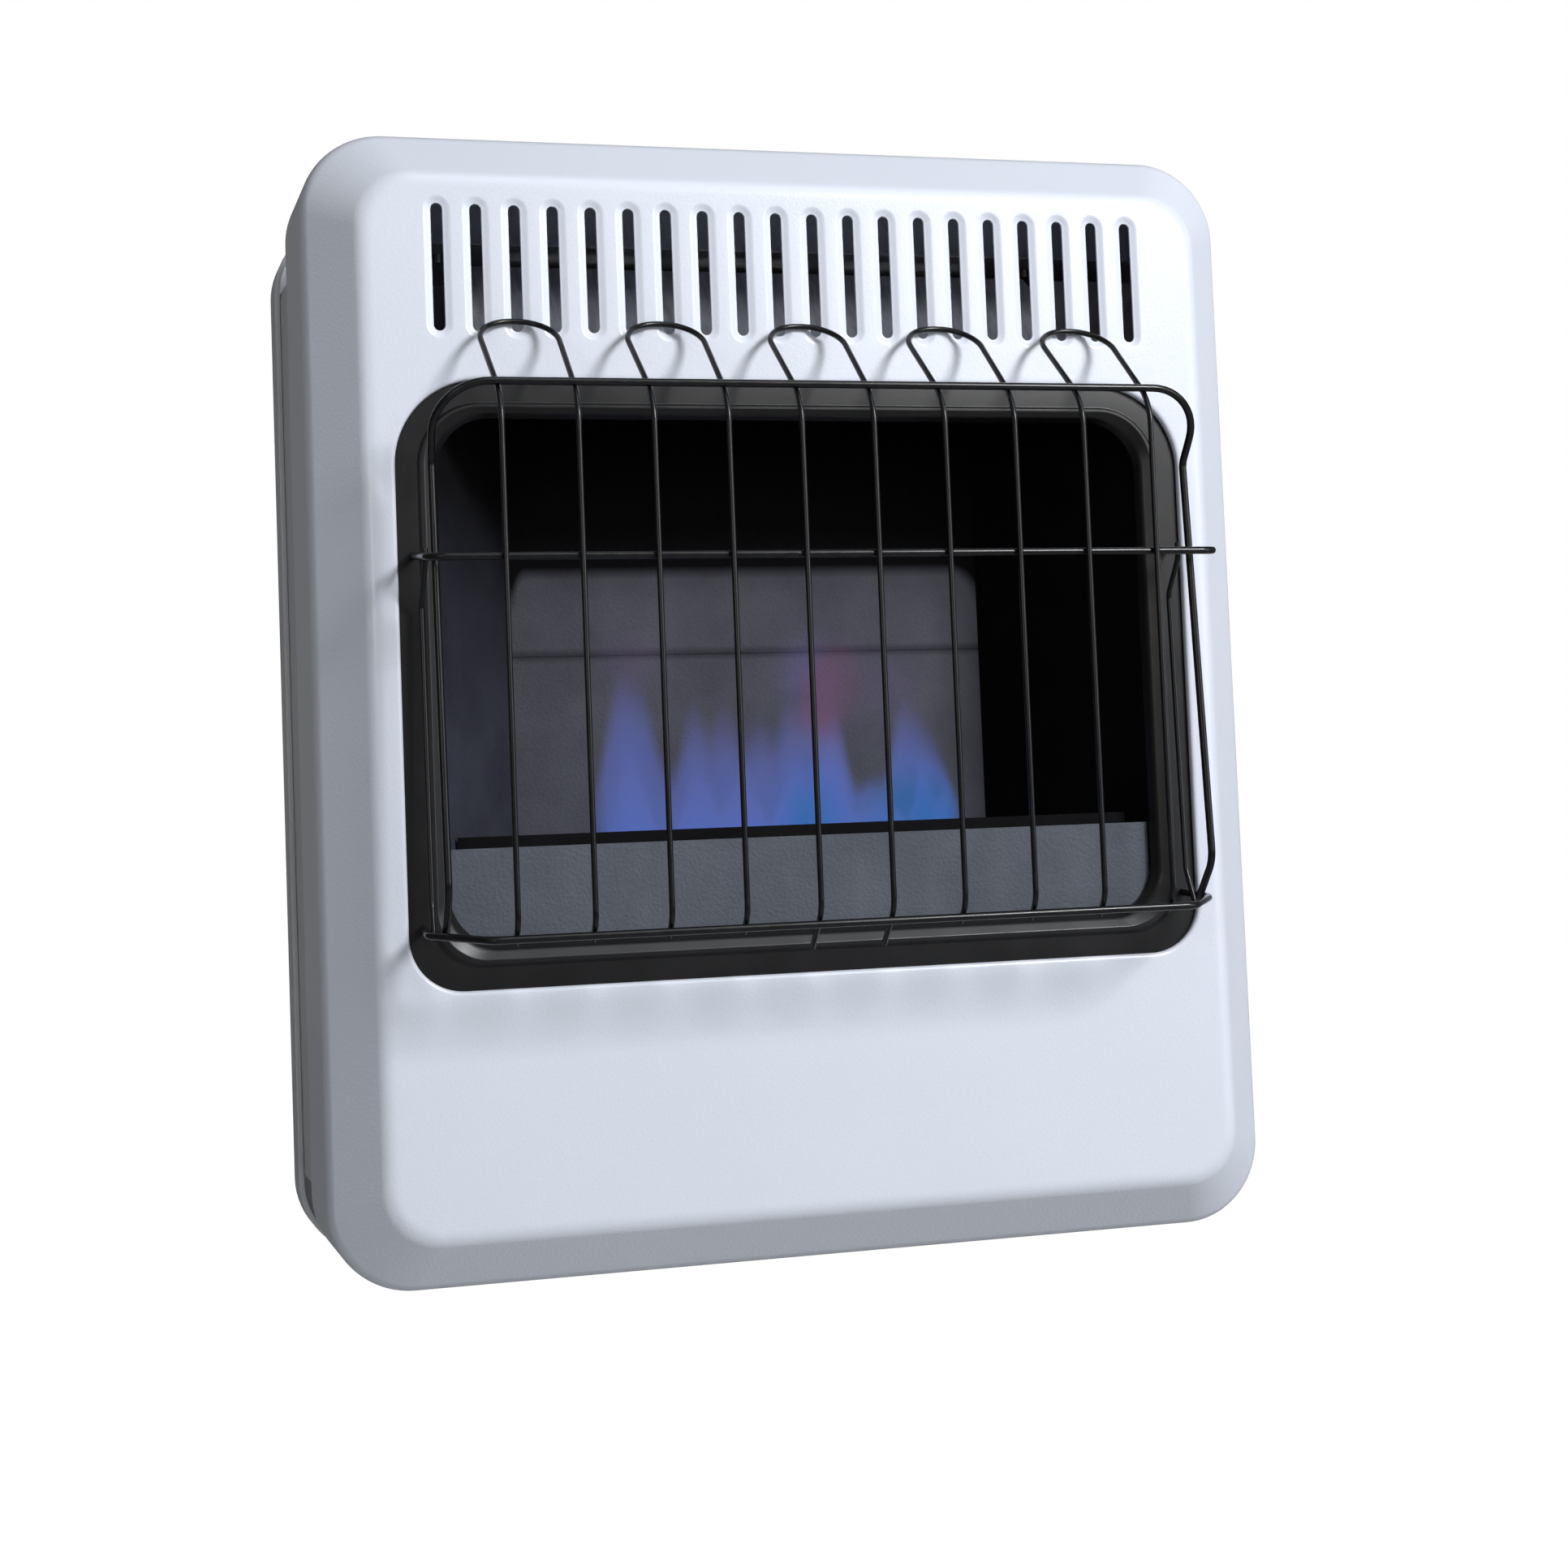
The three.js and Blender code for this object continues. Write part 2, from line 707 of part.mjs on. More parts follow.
function screwHoles() {
  return screwPlaces().map(({ x, y, seat, way }) => bar(
    [x, y, seat - way * cutOverrun], [x, y, seat + way * cutOverrun], screwShankRadius + fitGap, wireSides));
}

function coverScrew({ x, y, seat, way }) {
  const head = bar([x, y, seat + way * runningGap], [x, y, seat + way * screwHeadHeight], screwHeadRadius, rodSides);
  const shank = bar([x, y, seat + way * screwHeadHeight / 2], [x, y, seat - way * screwLength],
    screwShankRadius, wireSides);
  return joined([head, shank]);
}

// Casing: side, top and bottom panels in front of a shallow back pan
function sidePanel(side) {
  const outline = [
    [casingHalf, casingFrontY], [casingHalf, innerWallY],
    [casingHalf - casingFlange, innerWallY], [casingHalf - casingFlange, innerWallY - sheet],
    [casingHalf - sheet, innerWallY - sheet], [casingHalf - sheet, casingFrontY + sheet],
    [casingHalf - casingFlange, casingFrontY + sheet], [casingHalf - casingFlange, casingFrontY],
  ].map(([x, y]) => [side * x, y]);
  const ordered = side > 0 ? outline : outline.reverse();
  return runUpZ(ordered, casingBottomZ + sheet + fitGap, casingTopZ - sheet - fitGap);
}

function traySection(plateZ, way) {
  const inside = plateZ - way * sheet;
  const lip = plateZ - way * trayFlange;
  return [
    [casingFrontY, plateZ], [innerWallY, plateZ], [innerWallY, lip], [innerWallY - sheet, lip],
    [innerWallY - sheet, inside], [casingFrontY + sheet, inside], [casingFrontY + sheet, lip], [casingFrontY, lip],
  ];
}

function trayPanel(plateZ, way) {
  const plateHalf = casingHalf - sheet - fitGap;
  const flangeHalf = casingHalf - casingFlange - fitGap;
  const section = traySection(plateZ, way);
  const tray = runAlongX(way > 0 ? section.reverse() : section, -plateHalf, plateHalf);
  const inside = [plateZ - way * sheet, plateZ - way * (trayFlange + cutOverrun)];
  const cornerCuts = [-1, 1].map((side) => {
    const ends = [side * flangeHalf, side * (plateHalf + cutOverrun)];
    return block([Math.min(...ends), casingFrontY - cutOverrun, Math.min(...inside)],
      [Math.max(...ends), innerWallY + cutOverrun, Math.max(...inside)]);
  });
  return cutBy(tray, cornerCuts);
}

function upright(x, y, lowZ, highZ, radius, sides = rodSides) {
  return bar([x, y, lowZ], [x, y, highZ], radius, sides);
}

function casingTop() {
  const holes = [
    upright(controlX, controlY, casingTopZ - cutOverrun, casingTopZ + cutOverrun, camRadius + fitGap),
    upright(igniterX, controlY, casingTopZ - cutOverrun, casingTopZ + cutOverrun, igniterBodyRadius + fitGap),
  ];
  return cutBy(trayPanel(casingTopZ, 1), [...holes, ...screwHoles()]);
}

function casingBottom() {
  const inletHole = upright(regulatorX, controlY, casingBottomZ - cutOverrun, casingBottomZ + cutOverrun,
    inletNutRadius + fitGap);
  const airCount = 9;
  const airHalf = casingHalf - 2 * screwSideInset;
  const airPitch = (2 * airHalf) / airCount;
  const airSlots = Array.from({ length: airCount }, (_, index) => {
    const x = (index - (airCount - 1) / 2) * airPitch;
    return block([x - airPitch / 4, controlY - casingOverlap, casingBottomZ - cutOverrun],
      [x + airPitch / 4, controlY + casingOverlap, casingBottomZ + cutOverrun]);
  });
  return cutBy(trayPanel(casingBottomZ, -1), [inletHole, ...airSlots, ...screwHoles()]);
}

function backPanel() {
  const panOutline = (inset) => roundedOutline(halfWidth - inset, bottomZ + inset, topZ - panTopDrop - inset,
    panCornerRadius - inset, panCornerRadius - inset, panCornerSteps);
  const pan = runForward(panOutline(0), 0, panReturn).subtract(runForward(panOutline(sheet), -sheet, panReturn));
  const half = bracketHalf + recessMargin;
  const lowZ = bracketZ - bracketHeight / 2 - recessMargin;
  const highZ = bracketZ + bracketHeight / 2 + recessMargin;
  const dish = block([-half, -recessDepth - sheet, lowZ], [half, -sheet / 2, highZ]);
  const hollow = block([-half + sheet, -recessDepth, lowZ + sheet], [half - sheet, cutOverrun, highZ - sheet]);
  const tabZ = bracketZ + bracketHeight / 2;
  const hookSlots = [-1, 1].map((side) => {
    const x = side * bracketHookX;
    const reach = bracketHookWidth / 2 + fitGap;
    return block([x - reach, -recessDepth - cutOverrun, tabZ - bracketThickness - bracketHookLip],
      [x + reach, -recessDepth + sheet, tabZ + fitGap]);
  });
  const wallHoles = [-1, 1].map((side) => bar(
    [side * wallHoleX, -cutOverrun, wallHoleZ], [side * wallHoleX, cutOverrun, wallHoleZ],
    bracketHoleRadius, wireSides));
  return cutBy(joined([pan, dish]), [hollow, ...hookSlots, ...wallHoles]);
}

// Bracket screwed to the wall, with two hooks through the back panel
function wallBracket() {
  const lowZ = bracketZ - bracketHeight / 2;
  const highZ = bracketZ + bracketHeight / 2;
  const strip = block([-bracketHalf, -bracketThickness, lowZ], [bracketHalf, 0, highZ]);
  const lipY = -recessDepth - sheet - fitGap - bracketThickness;
  const hooks = [-1, 1].flatMap((side) => {
    const x = side * bracketHookX;
    const reach = bracketHookWidth / 2;
    return [
      block([x - reach, lipY, highZ - bracketThickness], [x + reach, -bracketThickness / 2, highZ]),
      block([x - reach, lipY, highZ - bracketThickness], [x + reach, lipY + bracketThickness, highZ + bracketHookLip]),
    ];
  });
  const holes = [-1, 0, 1].map((place) => bar(
    [place * wallHoleX, -cutOverrun, bracketZ], [place * wallHoleX, cutOverrun, bracketZ],
    bracketHoleRadius, wireSides));
  return cutBy(joined([strip, ...hooks]), holes);
}

// Pressed black trim: flat flange, bead and a band curving back into the chamber
function trimOutline(inset) {
  const beyond = Math.max(0, inset - trimFlangeWidth);
  const topInset = inset - beyond * (1 - trimTopBandWidth / trimBandWidth);
  const lowRadius = Math.max(windowBottomRadius - inset, trimLowRadius);
  const highRadius = Math.max(windowTopRadius - inset, trimHighRadius);
  return roundedOutline(windowHalf - inset, windowLowZ + inset, windowHighZ - topInset, lowRadius, highRadius);
}

function fireboxTrim() {
  const bandEnd = trimFlangeWidth + trimBandWidth;
  const beadShare = 0.12;
  const crownShare = 0.3;
  const hollowShare = 0.7;
  const front = [
    [-trimTuck, 0], [trimFlangeWidth, 0],
    [trimFlangeWidth + trimBandWidth * beadShare, -trimBead],
    [trimFlangeWidth + trimBandWidth * crownShare, -trimBead],
    [trimFlangeWidth + trimBandWidth * hollowShare, trimDepth * beadShare],
    [bandEnd, trimDepth * hollowShare - sheet],
    [bandEnd, trimDepth],
  ];
  const back = [
    [bandEnd - trimReturn, trimDepth], [bandEnd - trimReturn, trimDepth - sheet],
    [bandEnd - sheet, trimDepth - sheet], [bandEnd - sheet, trimDepth * hollowShare],
    [trimFlangeWidth + trimBandWidth * hollowShare - sheet / 2, trimDepth * beadShare + sheet],
    [trimFlangeWidth + trimBandWidth * crownShare, sheet - trimBead],
    [trimFlangeWidth + trimBandWidth * beadShare, sheet - trimBead],
    [trimFlangeWidth, sheet], [-trimTuck, sheet],
  ];
  const rings = [...front, ...back].reverse().map(([inset, depth]) => ({ outline: trimOutline(inset), y: trimPlaneY + depth }));
  const holes = [-1, 1].flatMap((side) => [upperHookZ, lowerHookZ].map((z) => bar(
    [side * hookX, trimPlaneY - cutOverrun, z], [side * hookX, trimPlaneY + cutOverrun, z],
    hookHoleRadius, wireSides)));
  return cutBy(ringSurface(rings, true), holes);
}

// Chamber side wall, slanted towards the back, with a flange at each end
function slantX(y) {
  const share = (y - chamberFrontY) / chamberDepth;
  return chamberFrontHalf + (chamberBackHalf - chamberFrontHalf) * share;
}

function chamberSide(side) {
  const outline = [
    [chamberFrontHalf, chamberFrontY], [chamberFrontHalf + chamberFlange, chamberFrontY],
    [chamberFrontHalf + chamberFlange, chamberFrontY + sheet],
    [chamberFrontHalf + sheet, chamberFrontY + sheet],
    [chamberBackHalf + sheet, chamberBackY - sheet],
    [chamberBackHalf + chamberFlange, chamberBackY - sheet], [chamberBackHalf + chamberFlange, chamberBackY],
    [chamberBackHalf, chamberBackY],
  ].map(([x, y]) => [side * x, y]);
  const ordered = side > 0 ? outline : outline.reverse();
  const wall = runUpZ(ordered, floorZ + sheet + fitGap, roofTopZ);
  const slope = roofRise / roofSlopeDepth;
  const under = fitGap * Math.hypot(1, slope);
  const aboveRoof = runAlongX([
    [chamberFrontY - cutOverrun, roofFrontZ - under - cutOverrun * slope],
    [roofBendY, roofTopZ - under], [chamberBackY + cutOverrun, roofTopZ - under],
    [chamberBackY + cutOverrun, roofTopZ + cutOverrun], [chamberFrontY - cutOverrun, roofTopZ + cutOverrun],
  ], -halfWidth, halfWidth);
  return wall.subtract(aboveRoof);
}

function chamberSideRight() {
  const mixerHole = bar([0, burnerY, burnerZ], [halfWidth, burnerY, burnerZ], burnerDiameter / 2 + fitGap + sheet);
  const leadWindow = block([chamberBackHalf, pilotY - pilotPlateDepth / 2, floorZ - cutOverrun],
    [halfWidth, pilotY + pilotPlateDepth / 2, pilotPlateZ + pilotRise - pilotLength]);
  return cutBy(chamberSide(1), [mixerHole, leadWindow]);
}

function chamberBackLower() {
  return block([-chamberBackHalf - chamberFlange, chamberBackY + fitGap, floorZ + sheet + fitGap],
    [chamberBackHalf + chamberFlange, chamberBackY + fitGap + sheet, seamZ]);
}

function chamberBackUpper() {
  const nearY = chamberBackY + fitGap;
  const farY = nearY + sheet + fitGap;
  return runAlongX([
    [nearY, seamZ + fitGap], [farY, seamZ + fitGap], [farY, seamZ - seamOverlap],
    [farY + sheet, seamZ - seamOverlap], [farY + sheet, seamZ + fitGap + sheet],
    [nearY + sheet, seamZ + fitGap + sheet], [nearY + sheet, roofTopZ - fitGap], [nearY, roofTopZ - fitGap],
  ], -chamberBackHalf - chamberFlange, chamberBackHalf + chamberFlange);
}

// Roof that slopes up and back from the trim, then runs level over the outlets
function fireboxRoof() {
  const slope = roofRise / roofSlopeDepth;
  const lift = sheet * Math.hypot(1, slope);
  const rearY = chamberBackY + 2 * (sheet + fitGap);
  const sheetRun = runAlongX([
    [chamberFrontY + sheet + fitGap, roofFrontZ + (sheet + fitGap) * slope], [roofBendY, roofTopZ], [rearY, roofTopZ],
    [rearY, roofTopZ + lift], [roofBendY - (lift - sheet), roofTopZ + lift],
    [chamberFrontY + sheet + fitGap, roofFrontZ + (sheet + fitGap) * slope + lift],
  ], -halfWidth, halfWidth);
  const frontHalf = chamberFrontHalf + roofMargin;
  const backHalf = chamberBackHalf + roofMargin;
  const plan = runUpZ([
    [-frontHalf, chamberFrontY], [frontHalf, chamberFrontY], [backHalf, rearY], [-backHalf, rearY],
  ], roofFrontZ - cutOverrun, roofTopZ + lift + cutOverrun);
  const outletPitch = (2 * chamberBackHalf) / roofOutletCount;
  const outletHalf = (outletPitch - roofOutletRib) / 2;
  const outletY = (roofBendY + chamberBackY) / 2;
  const outlets = Array.from({ length: roofOutletCount }, (_, index) => {
    const x = (index - (roofOutletCount - 1) / 2) * outletPitch;
    return block([x - outletHalf, outletY - roofOutletDepth / 2, roofTopZ - cutOverrun],
      [x + outletHalf, outletY + roofOutletDepth / 2, roofTopZ + lift + cutOverrun]);
  });
  return cutBy(sheetRun.intersect(plan), outlets);
}

// Shelf that spans the casing and carries the chamber
function chamberShelf() {
  const half = casingHalf - sheet - fitGap;
  const frontY = chamberFrontY + shelfFrontSetback;
  const frontHalf = chamberFrontHalf + chamberFlange;
  const shoulderY = casingFrontY + sheet + fitGap;
  const plate = joined([
    block([-frontHalf, frontY, floorZ], [frontHalf, shoulderY + sheet, floorZ + sheet]),
    block([-half, shoulderY, floorZ], [half, innerWallY - fitGap, floorZ + sheet]),
  ]);
  const gapBack = chamberBackY + 2 * (sheet + fitGap) + sheet;
  const airGap = block([-chamberBackHalf, gapBack + casingFlange, floorZ - cutOverrun],
    [chamberBackHalf, innerWallY - casingFlange, floorZ + cutOverrun]);
  const sideGaps = [-1, 1].map((side) => {
    const ends = [side * (chamberBackHalf + 2 * chamberFlange), side * (half - casingFlange)];
    return block([Math.min(...ends), casingFrontY + shelfGapInset, floorZ - cutOverrun],
      [Math.max(...ends), innerWallY - casingFlange, floorZ + cutOverrun]);
  });
  const feedHalf = burnerDiameter / 2;
  const feedSlot = block([burnerLeftX, burnerY - feedHalf, floorZ - cutOverrun],
    [saddleInset, burnerY + feedHalf, floorZ + cutOverrun]);
  const cornerCuts = [-1, 1].map((side) => {
    const ends = [side * (casingHalf - casingFlange - fitGap), side * (half + cutOverrun)];
    return block([Math.min(...ends), innerWallY - sheet - fitGap, floorZ - cutOverrun],
      [Math.max(...ends), cutOverrun, floorZ + cutOverrun]);
  });
  return cutBy(plate, [airGap, ...sideGaps, feedSlot, ...cornerCuts]);
}

// Grey textured baffle below the fire, hemmed back at its top edge
function frontBaffle() {
  const plateHalf = slantX(chamberFrontY + sheet) - fitGap - sheet / 2;
  const hemHalf = slantX(chamberFrontY + baffleHem) - fitGap - sheet / 2;
  const lowZ = windowLowZ + trimFlangeWidth / 2;
  return joined([
    block([-plateHalf, chamberFrontY, lowZ], [plateHalf, chamberFrontY + sheet, baffleTopZ]),
    block([-hemHalf, chamberFrontY, baffleTopZ - sheet], [hemHalf, chamberFrontY + baffleHem, baffleTopZ]),
  ]);
}

// Black cover strip between the baffle and the burner
function burnerCover() {
  const plateY = chamberFrontY + burnerCoverSetback;
  const half = slantX(plateY + sheet) - fitGap - sheet;
  const footZ = baffleTopZ - burnerCoverDrop;
  return runAlongX([
    [chamberFrontY + sheet + fitGap, footZ], [plateY + sheet, footZ], [plateY + sheet, burnerCoverTopZ],
    [plateY, burnerCoverTopZ], [plateY, footZ + sheet], [chamberFrontY + sheet + fitGap, footZ + sheet],
  ], -half, half);
}

// Burner tube with a row of ports along its top
function burnerTube() {
  const radius = burnerDiameter / 2;
  const tube = bar([burnerLeftX, burnerY, burnerZ], [burnerRightX, burnerY, burnerZ], radius);
  const bore = bar([burnerLeftX + burnerWall, burnerY, burnerZ], [burnerRightX + cutOverrun, burnerY, burnerZ],
    radius - burnerWall);
  const span = burnerRightX - burnerLeftX - 2 * mixerThroatDiameter;
  const ports = Array.from({ length: portCount }, (_, index) => {
    const x = burnerLeftX + mixerThroatDiameter + (span * (index + 1 / 2)) / portCount;
    return block([x - portWidth / 2, burnerY - portLength / 2, burnerZ + radius / 2],
      [x + portWidth / 2, burnerY + portLength / 2, burnerZ + radius + cutOverrun]);
  });
  return cutBy(tube, [bore, ...ports]);
}

// Mixer: a venturi from the burner's open end out to the injector
function mixerTube() {
  const mouth = burnerDiameter / 2;
  const throat = mixerThroatDiameter / 2;
  const wall = burnerWall;
  const flareShare = 0.25;
  const waistShare = 0.55;
  return turnedAboutX([
    [mouth - wall, 0], [mouth, 0], [throat + wall, mixerLength * flareShare],
    [throat + wall, mixerLength * waistShare], [mouth, mixerLength], [mouth - wall, mixerLength],
    [throat, mixerLength * waistShare], [throat, mixerLength * flareShare], [mouth - wall, 0],
  ], [burnerRightX + fitGap, burnerY, burnerZ]);
}

// Saddle under the burner
function burnerSaddle(x) {
  const half = saddleWidth / 2;
  const lowZ = floorZ + sheet + fitGap;
  const radius = burnerDiameter / 2;
  const web = block([x - sheet / 2, burnerY - radius, lowZ], [x + sheet / 2, burnerY + radius, burnerZ]);
  const foot = block([x - half, burnerY - radius, lowZ], [x + half, burnerY + radius, lowZ + sheet]);
  const seat = bar([x - half, burnerY, burnerZ], [x + half, burnerY, burnerZ], radius + fitGap);
  return cutBy(joined([web, foot]), [seat]);
}

// Injector with a nozzle towards the mixer and a stub that takes the gas tube
const injectorX = burnerRightX + fitGap + mixerLength + injectorNozzleLength / 2;

function injector() {
  const bodyStart = injectorX + injectorNozzleLength;
  const bodyEnd = bodyStart + injectorLength;
  const middle = (bodyStart + bodyEnd) / 2;
  const body = bar([bodyStart, burnerY, burnerZ], [bodyEnd, burnerY, burnerZ], injectorBodyDiameter / 2, wireSides);
  const nozzle = bar([injectorX, burnerY, burnerZ], [bodyStart + sheet, burnerY, burnerZ], injectorNozzleDiameter / 2);
  const stub = upright(middle, burnerY, burnerZ, burnerZ + injectorBodyDiameter / 2 + injectorStubLength,
    burnerTubeRadius + 2 * sheet);
  const socket = upright(middle, burnerY, burnerZ + injectorBodyDiameter / 2,
    burnerZ + injectorBodyDiameter / 2 + injectorStubLength + cutOverrun, burnerTubeRadius + fitGap);
  return cutBy(joined([body, nozzle, stub]), [socket]);
}

function injectorMount() {
  const plateX = injectorX + injectorNozzleLength / 2;
  const lowZ = floorZ + sheet + fitGap;
  const halfY = injectorMountWidth / 2;
  const plate = block([plateX, burnerY - halfY, lowZ], [plateX + sheet, burnerY + halfY, lowZ + injectorMountHeight]);
  const foot = block([plateX, burnerY - halfY, lowZ], [plateX + trayFlange, burnerY + halfY, lowZ + sheet]);
  const hole = bar([plateX - cutOverrun, burnerY, burnerZ], [plateX + cutOverrun, burnerY, burnerZ],
    injectorNozzleDiameter / 2 + runningGap);
  return cutBy(joined([plate, foot]), [hole]);
}

// Pilot assembly on its plate: burner, electrode and thermocouple
const pilotX = chamberBackHalf - pilotSideInset;
const pilotY = burnerY - pilotForward;
const pilotPlateZ = burnerCoverTopZ - pilotPlateDrop;

function pilotPlate() {
  const half = pilotPlateWidth / 2;
  const plate = block([pilotX - half, pilotY - pilotPlateDepth / 2, pilotPlateZ],
    [pilotX + half, pilotY + pilotPlateDepth / 2, pilotPlateZ + sheet]);
  const legX = saddleX + saddleWidth / 2 + fitGap;
  const arm = block([legX, pilotY - pilotPlateDepth / 2, pilotPlateZ],
    [pilotX - half + sheet, pilotY + pilotPlateDepth / 2, pilotPlateZ + sheet]);
  const leg = block([legX, pilotY - pilotPlateDepth / 2, floorZ + sheet + fitGap],
    [legX + sheet, pilotY + pilotPlateDepth / 2, pilotPlateZ + sheet]);
  const holes = [
    upright(pilotX, pilotY, pilotPlateZ - cutOverrun, pilotPlateZ + cutOverrun, pilotTubeRadius + runningGap),
    upright(pilotX - pilotPieceSpacing, pilotY, pilotPlateZ - cutOverrun, pilotPlateZ + cutOverrun,
      electrodeRadius + runningGap),
    upright(pilotX + pilotPieceSpacing, pilotY, pilotPlateZ - cutOverrun, pilotPlateZ + cutOverrun,
      thermocoupleRadius + runningGap),
  ];
  return cutBy(joined([plate, arm, leg]), holes);
}

function pilotPiece(x, radius) {
  const lowZ = pilotPlateZ + pilotRise - pilotLength;
  return joined([
    upright(x, pilotY, lowZ, pilotPlateZ + pilotRise, radius, wireSides),
    upright(x, pilotY, pilotPlateZ + sheet + fitGap, pilotPlateZ + 3 * sheet, radius + 2 * sheet, wireSides),
  ]);
}

// Gas valve on its bracket, under the casing's top panel
function valveBracket() {
  const lowX = controlX - valveWidth / 2 - sheet;
  const highX = casingHalf - sheet - fitGap;
  const frontY = faceY + valveBracketSetback;
  const rearY = controlY * valveBracketRearShare;
  const shelfTop = valveBaseZ - fitGap;
  const shelf = block([lowX, frontY, shelfTop - sheet], [highX, rearY, shelfTop]);
  const plate = block([lowX, frontY, shelfTop - sheet], [highX - casingFlange, frontY + sheet, shelfTop + valvePlateRise]);
  const hem = block([lowX, frontY, shelfTop + valvePlateRise - sheet],
    [highX - casingFlange, frontY + trayFlange, shelfTop + valvePlateRise]);
  const flange = block([highX - sheet, casingFrontY + casingFlange, shelfTop - sheet],
    [highX, rearY, shelfTop + valveBracketRise]);
  const frontClear = block([highX - casingFlange, frontY - cutOverrun, shelfTop - cutOverrun],
    [highX + cutOverrun, casingFrontY + sheet + fitGap, shelfTop + cutOverrun]);
  return cutBy(joined([shelf, plate, hem, flange]), [frontClear, ...portPlaces().map(({ x, y, radius }) =>
    upright(x, y, shelfTop - cutOverrun, shelfTop + cutOverrun, radius + fitGap))]);
}

// Ports under the valve: supply, burner, pilot, thermocouple and capillary
function portPlaces() {
  const along = valveWidth / 2 - valvePortRadius - sheet;
  const across = valveDepth / 2 - valvePortRadius - sheet;
  return [
    { name: 'supply', x: controlX + along, y: controlY, radius: valvePortRadius },
    { name: 'burner', x: controlX - along, y: controlY - across, radius: valvePortRadius },
    { name: 'pilot', x: controlX - along, y: controlY + across, radius: valvePortRadius * smallPortShare },
    { name: 'thermocouple', x: controlX, y: controlY + across, radius: valvePortRadius * smallPortShare },
    { name: 'capillary', x: controlX + along, y: controlY + across, radius: valvePortRadius * smallPortShare },
  ];
}

const smallPortShare = 0.6;

function portNamed(name) {
  return portPlaces().find((port) => port.name === name);
}

function gasValve() {
  const body = block([controlX - valveWidth / 2, controlY - valveDepth / 2, valveBaseZ],
    [controlX + valveWidth / 2, controlY + valveDepth / 2, valveTopZ]);
  const boss = upright(controlX, controlY, valveTopZ - sheet, valveTopZ + valveBossHeight, valveBossRadius);
  const stubs = portPlaces().map(({ x, y, radius }) =>
    upright(x, y, valveBaseZ - valvePortLength, valveBaseZ + sheet, radius, wireSides));
  const bore = upright(controlX, controlY, valveTopZ + valveBossHeight - camHeight - 2 * knobPressTravel - spindleWidth,
    valveTopZ + valveBossHeight + cutOverrun, camRadius + runningGap, rodSides);
  return cutBy(joined([body, boss, ...stubs]), [bore]);
}

// Cam sleeve that the spindle turns; the spindle slides in its square bore
const camTopZ = valveTopZ + valveBossHeight;

function valveCam() {
  const half = camBoreWidth / 2;
  const sleeve = upright(controlX, controlY, camTopZ - camHeight, camTopZ - runningGap, camRadius - runningGap);
  const bore = block([controlX - half, controlY - half, camTopZ - camHeight - cutOverrun],
    [controlX + half, controlY + half, camTopZ + cutOverrun]);
  return sleeve.subtract(bore);
}

const knobBaseZ = casingTopZ + dialThickness + fitGap + knobPressTravel + knobPressSlack;

function controlSpindle() {
  const half = spindleWidth / 2;
  return block([controlX - half, controlY - half, camTopZ - camHeight],
    [controlX + half, controlY + half, knobBaseZ + knobSocketDepth - fitGap]);
}

function controlKnob() {
  const skirtHeight = knobHeight - knobGripHeight;
  const skirtShare = 0.86;
  const skirt = turnedAboutZ([
    [0, 0], [knobRadius, 0], [knobRadius, skirtHeight / 3], [knobRadius * skirtShare, skirtHeight],
    [0, skirtHeight],
  ], [controlX, controlY, knobBaseZ]);
  const grip = runForward([
    [controlX - knobGripWidth / 2, knobBaseZ + skirtHeight - sheet],
    [controlX + knobGripWidth / 2, knobBaseZ + skirtHeight - sheet],
    [controlX + knobGripWidth / 3, knobBaseZ + knobHeight], [controlX - knobGripWidth / 3, knobBaseZ + knobHeight],
  ], controlY + knobRadius * skirtShare, 2 * knobRadius * skirtShare);
  const reach = spindleWidth / 2 + runningGap;
  const socket = block([controlX - reach, controlY - reach, knobBaseZ - cutOverrun],
    [controlX + reach, controlY + reach, knobBaseZ + knobSocketDepth]);
  return joined([skirt, grip]).subtract(socket);
}

// Push-button igniter through the casing's top panel
const igniterSeatZ = casingTopZ + dialThickness + fitGap;
const igniterTopZ = igniterSeatZ + igniterCollarHeight;

function igniterBody() {
  const radius = igniterBodyRadius;
  const barrel = upright(igniterX, controlY, casingTopZ - igniterBodyLength, igniterTopZ, radius);
  const collar = upright(igniterX, controlY, igniterSeatZ, igniterTopZ, igniterCollarRadius);
  const sleeve = upright(igniterX, controlY, igniterTopZ - igniterSleeveDepth, igniterTopZ + cutOverrun,
    igniterButtonRadius + runningGap);
  return joined([barrel, collar]).subtract(sleeve);
}

function igniterNut() {
  const lowZ = casingTopZ - sheet - fitGap - igniterCollarHeight;
  const nut = upright(igniterX, controlY, lowZ, casingTopZ - sheet - fitGap, igniterCollarRadius, 6);
  const hole = upright(igniterX, controlY, lowZ - cutOverrun, casingTopZ, igniterBodyRadius + runningGap);
  return nut.subtract(hole);
}

function igniterButton() {
  const lowZ = igniterTopZ + igniterCrown + igniterTravel - igniterSleeveDepth;
  const radius = igniterButtonRadius;
  const crownShare = 0.8;
  const height = igniterSleeveDepth;
  return turnedAboutZ([
    [0, 0], [radius, 0], [radius, height - igniterCrown / 2], [radius * crownShare, height], [0, height],
  ], [igniterX, controlY, lowZ]);
}

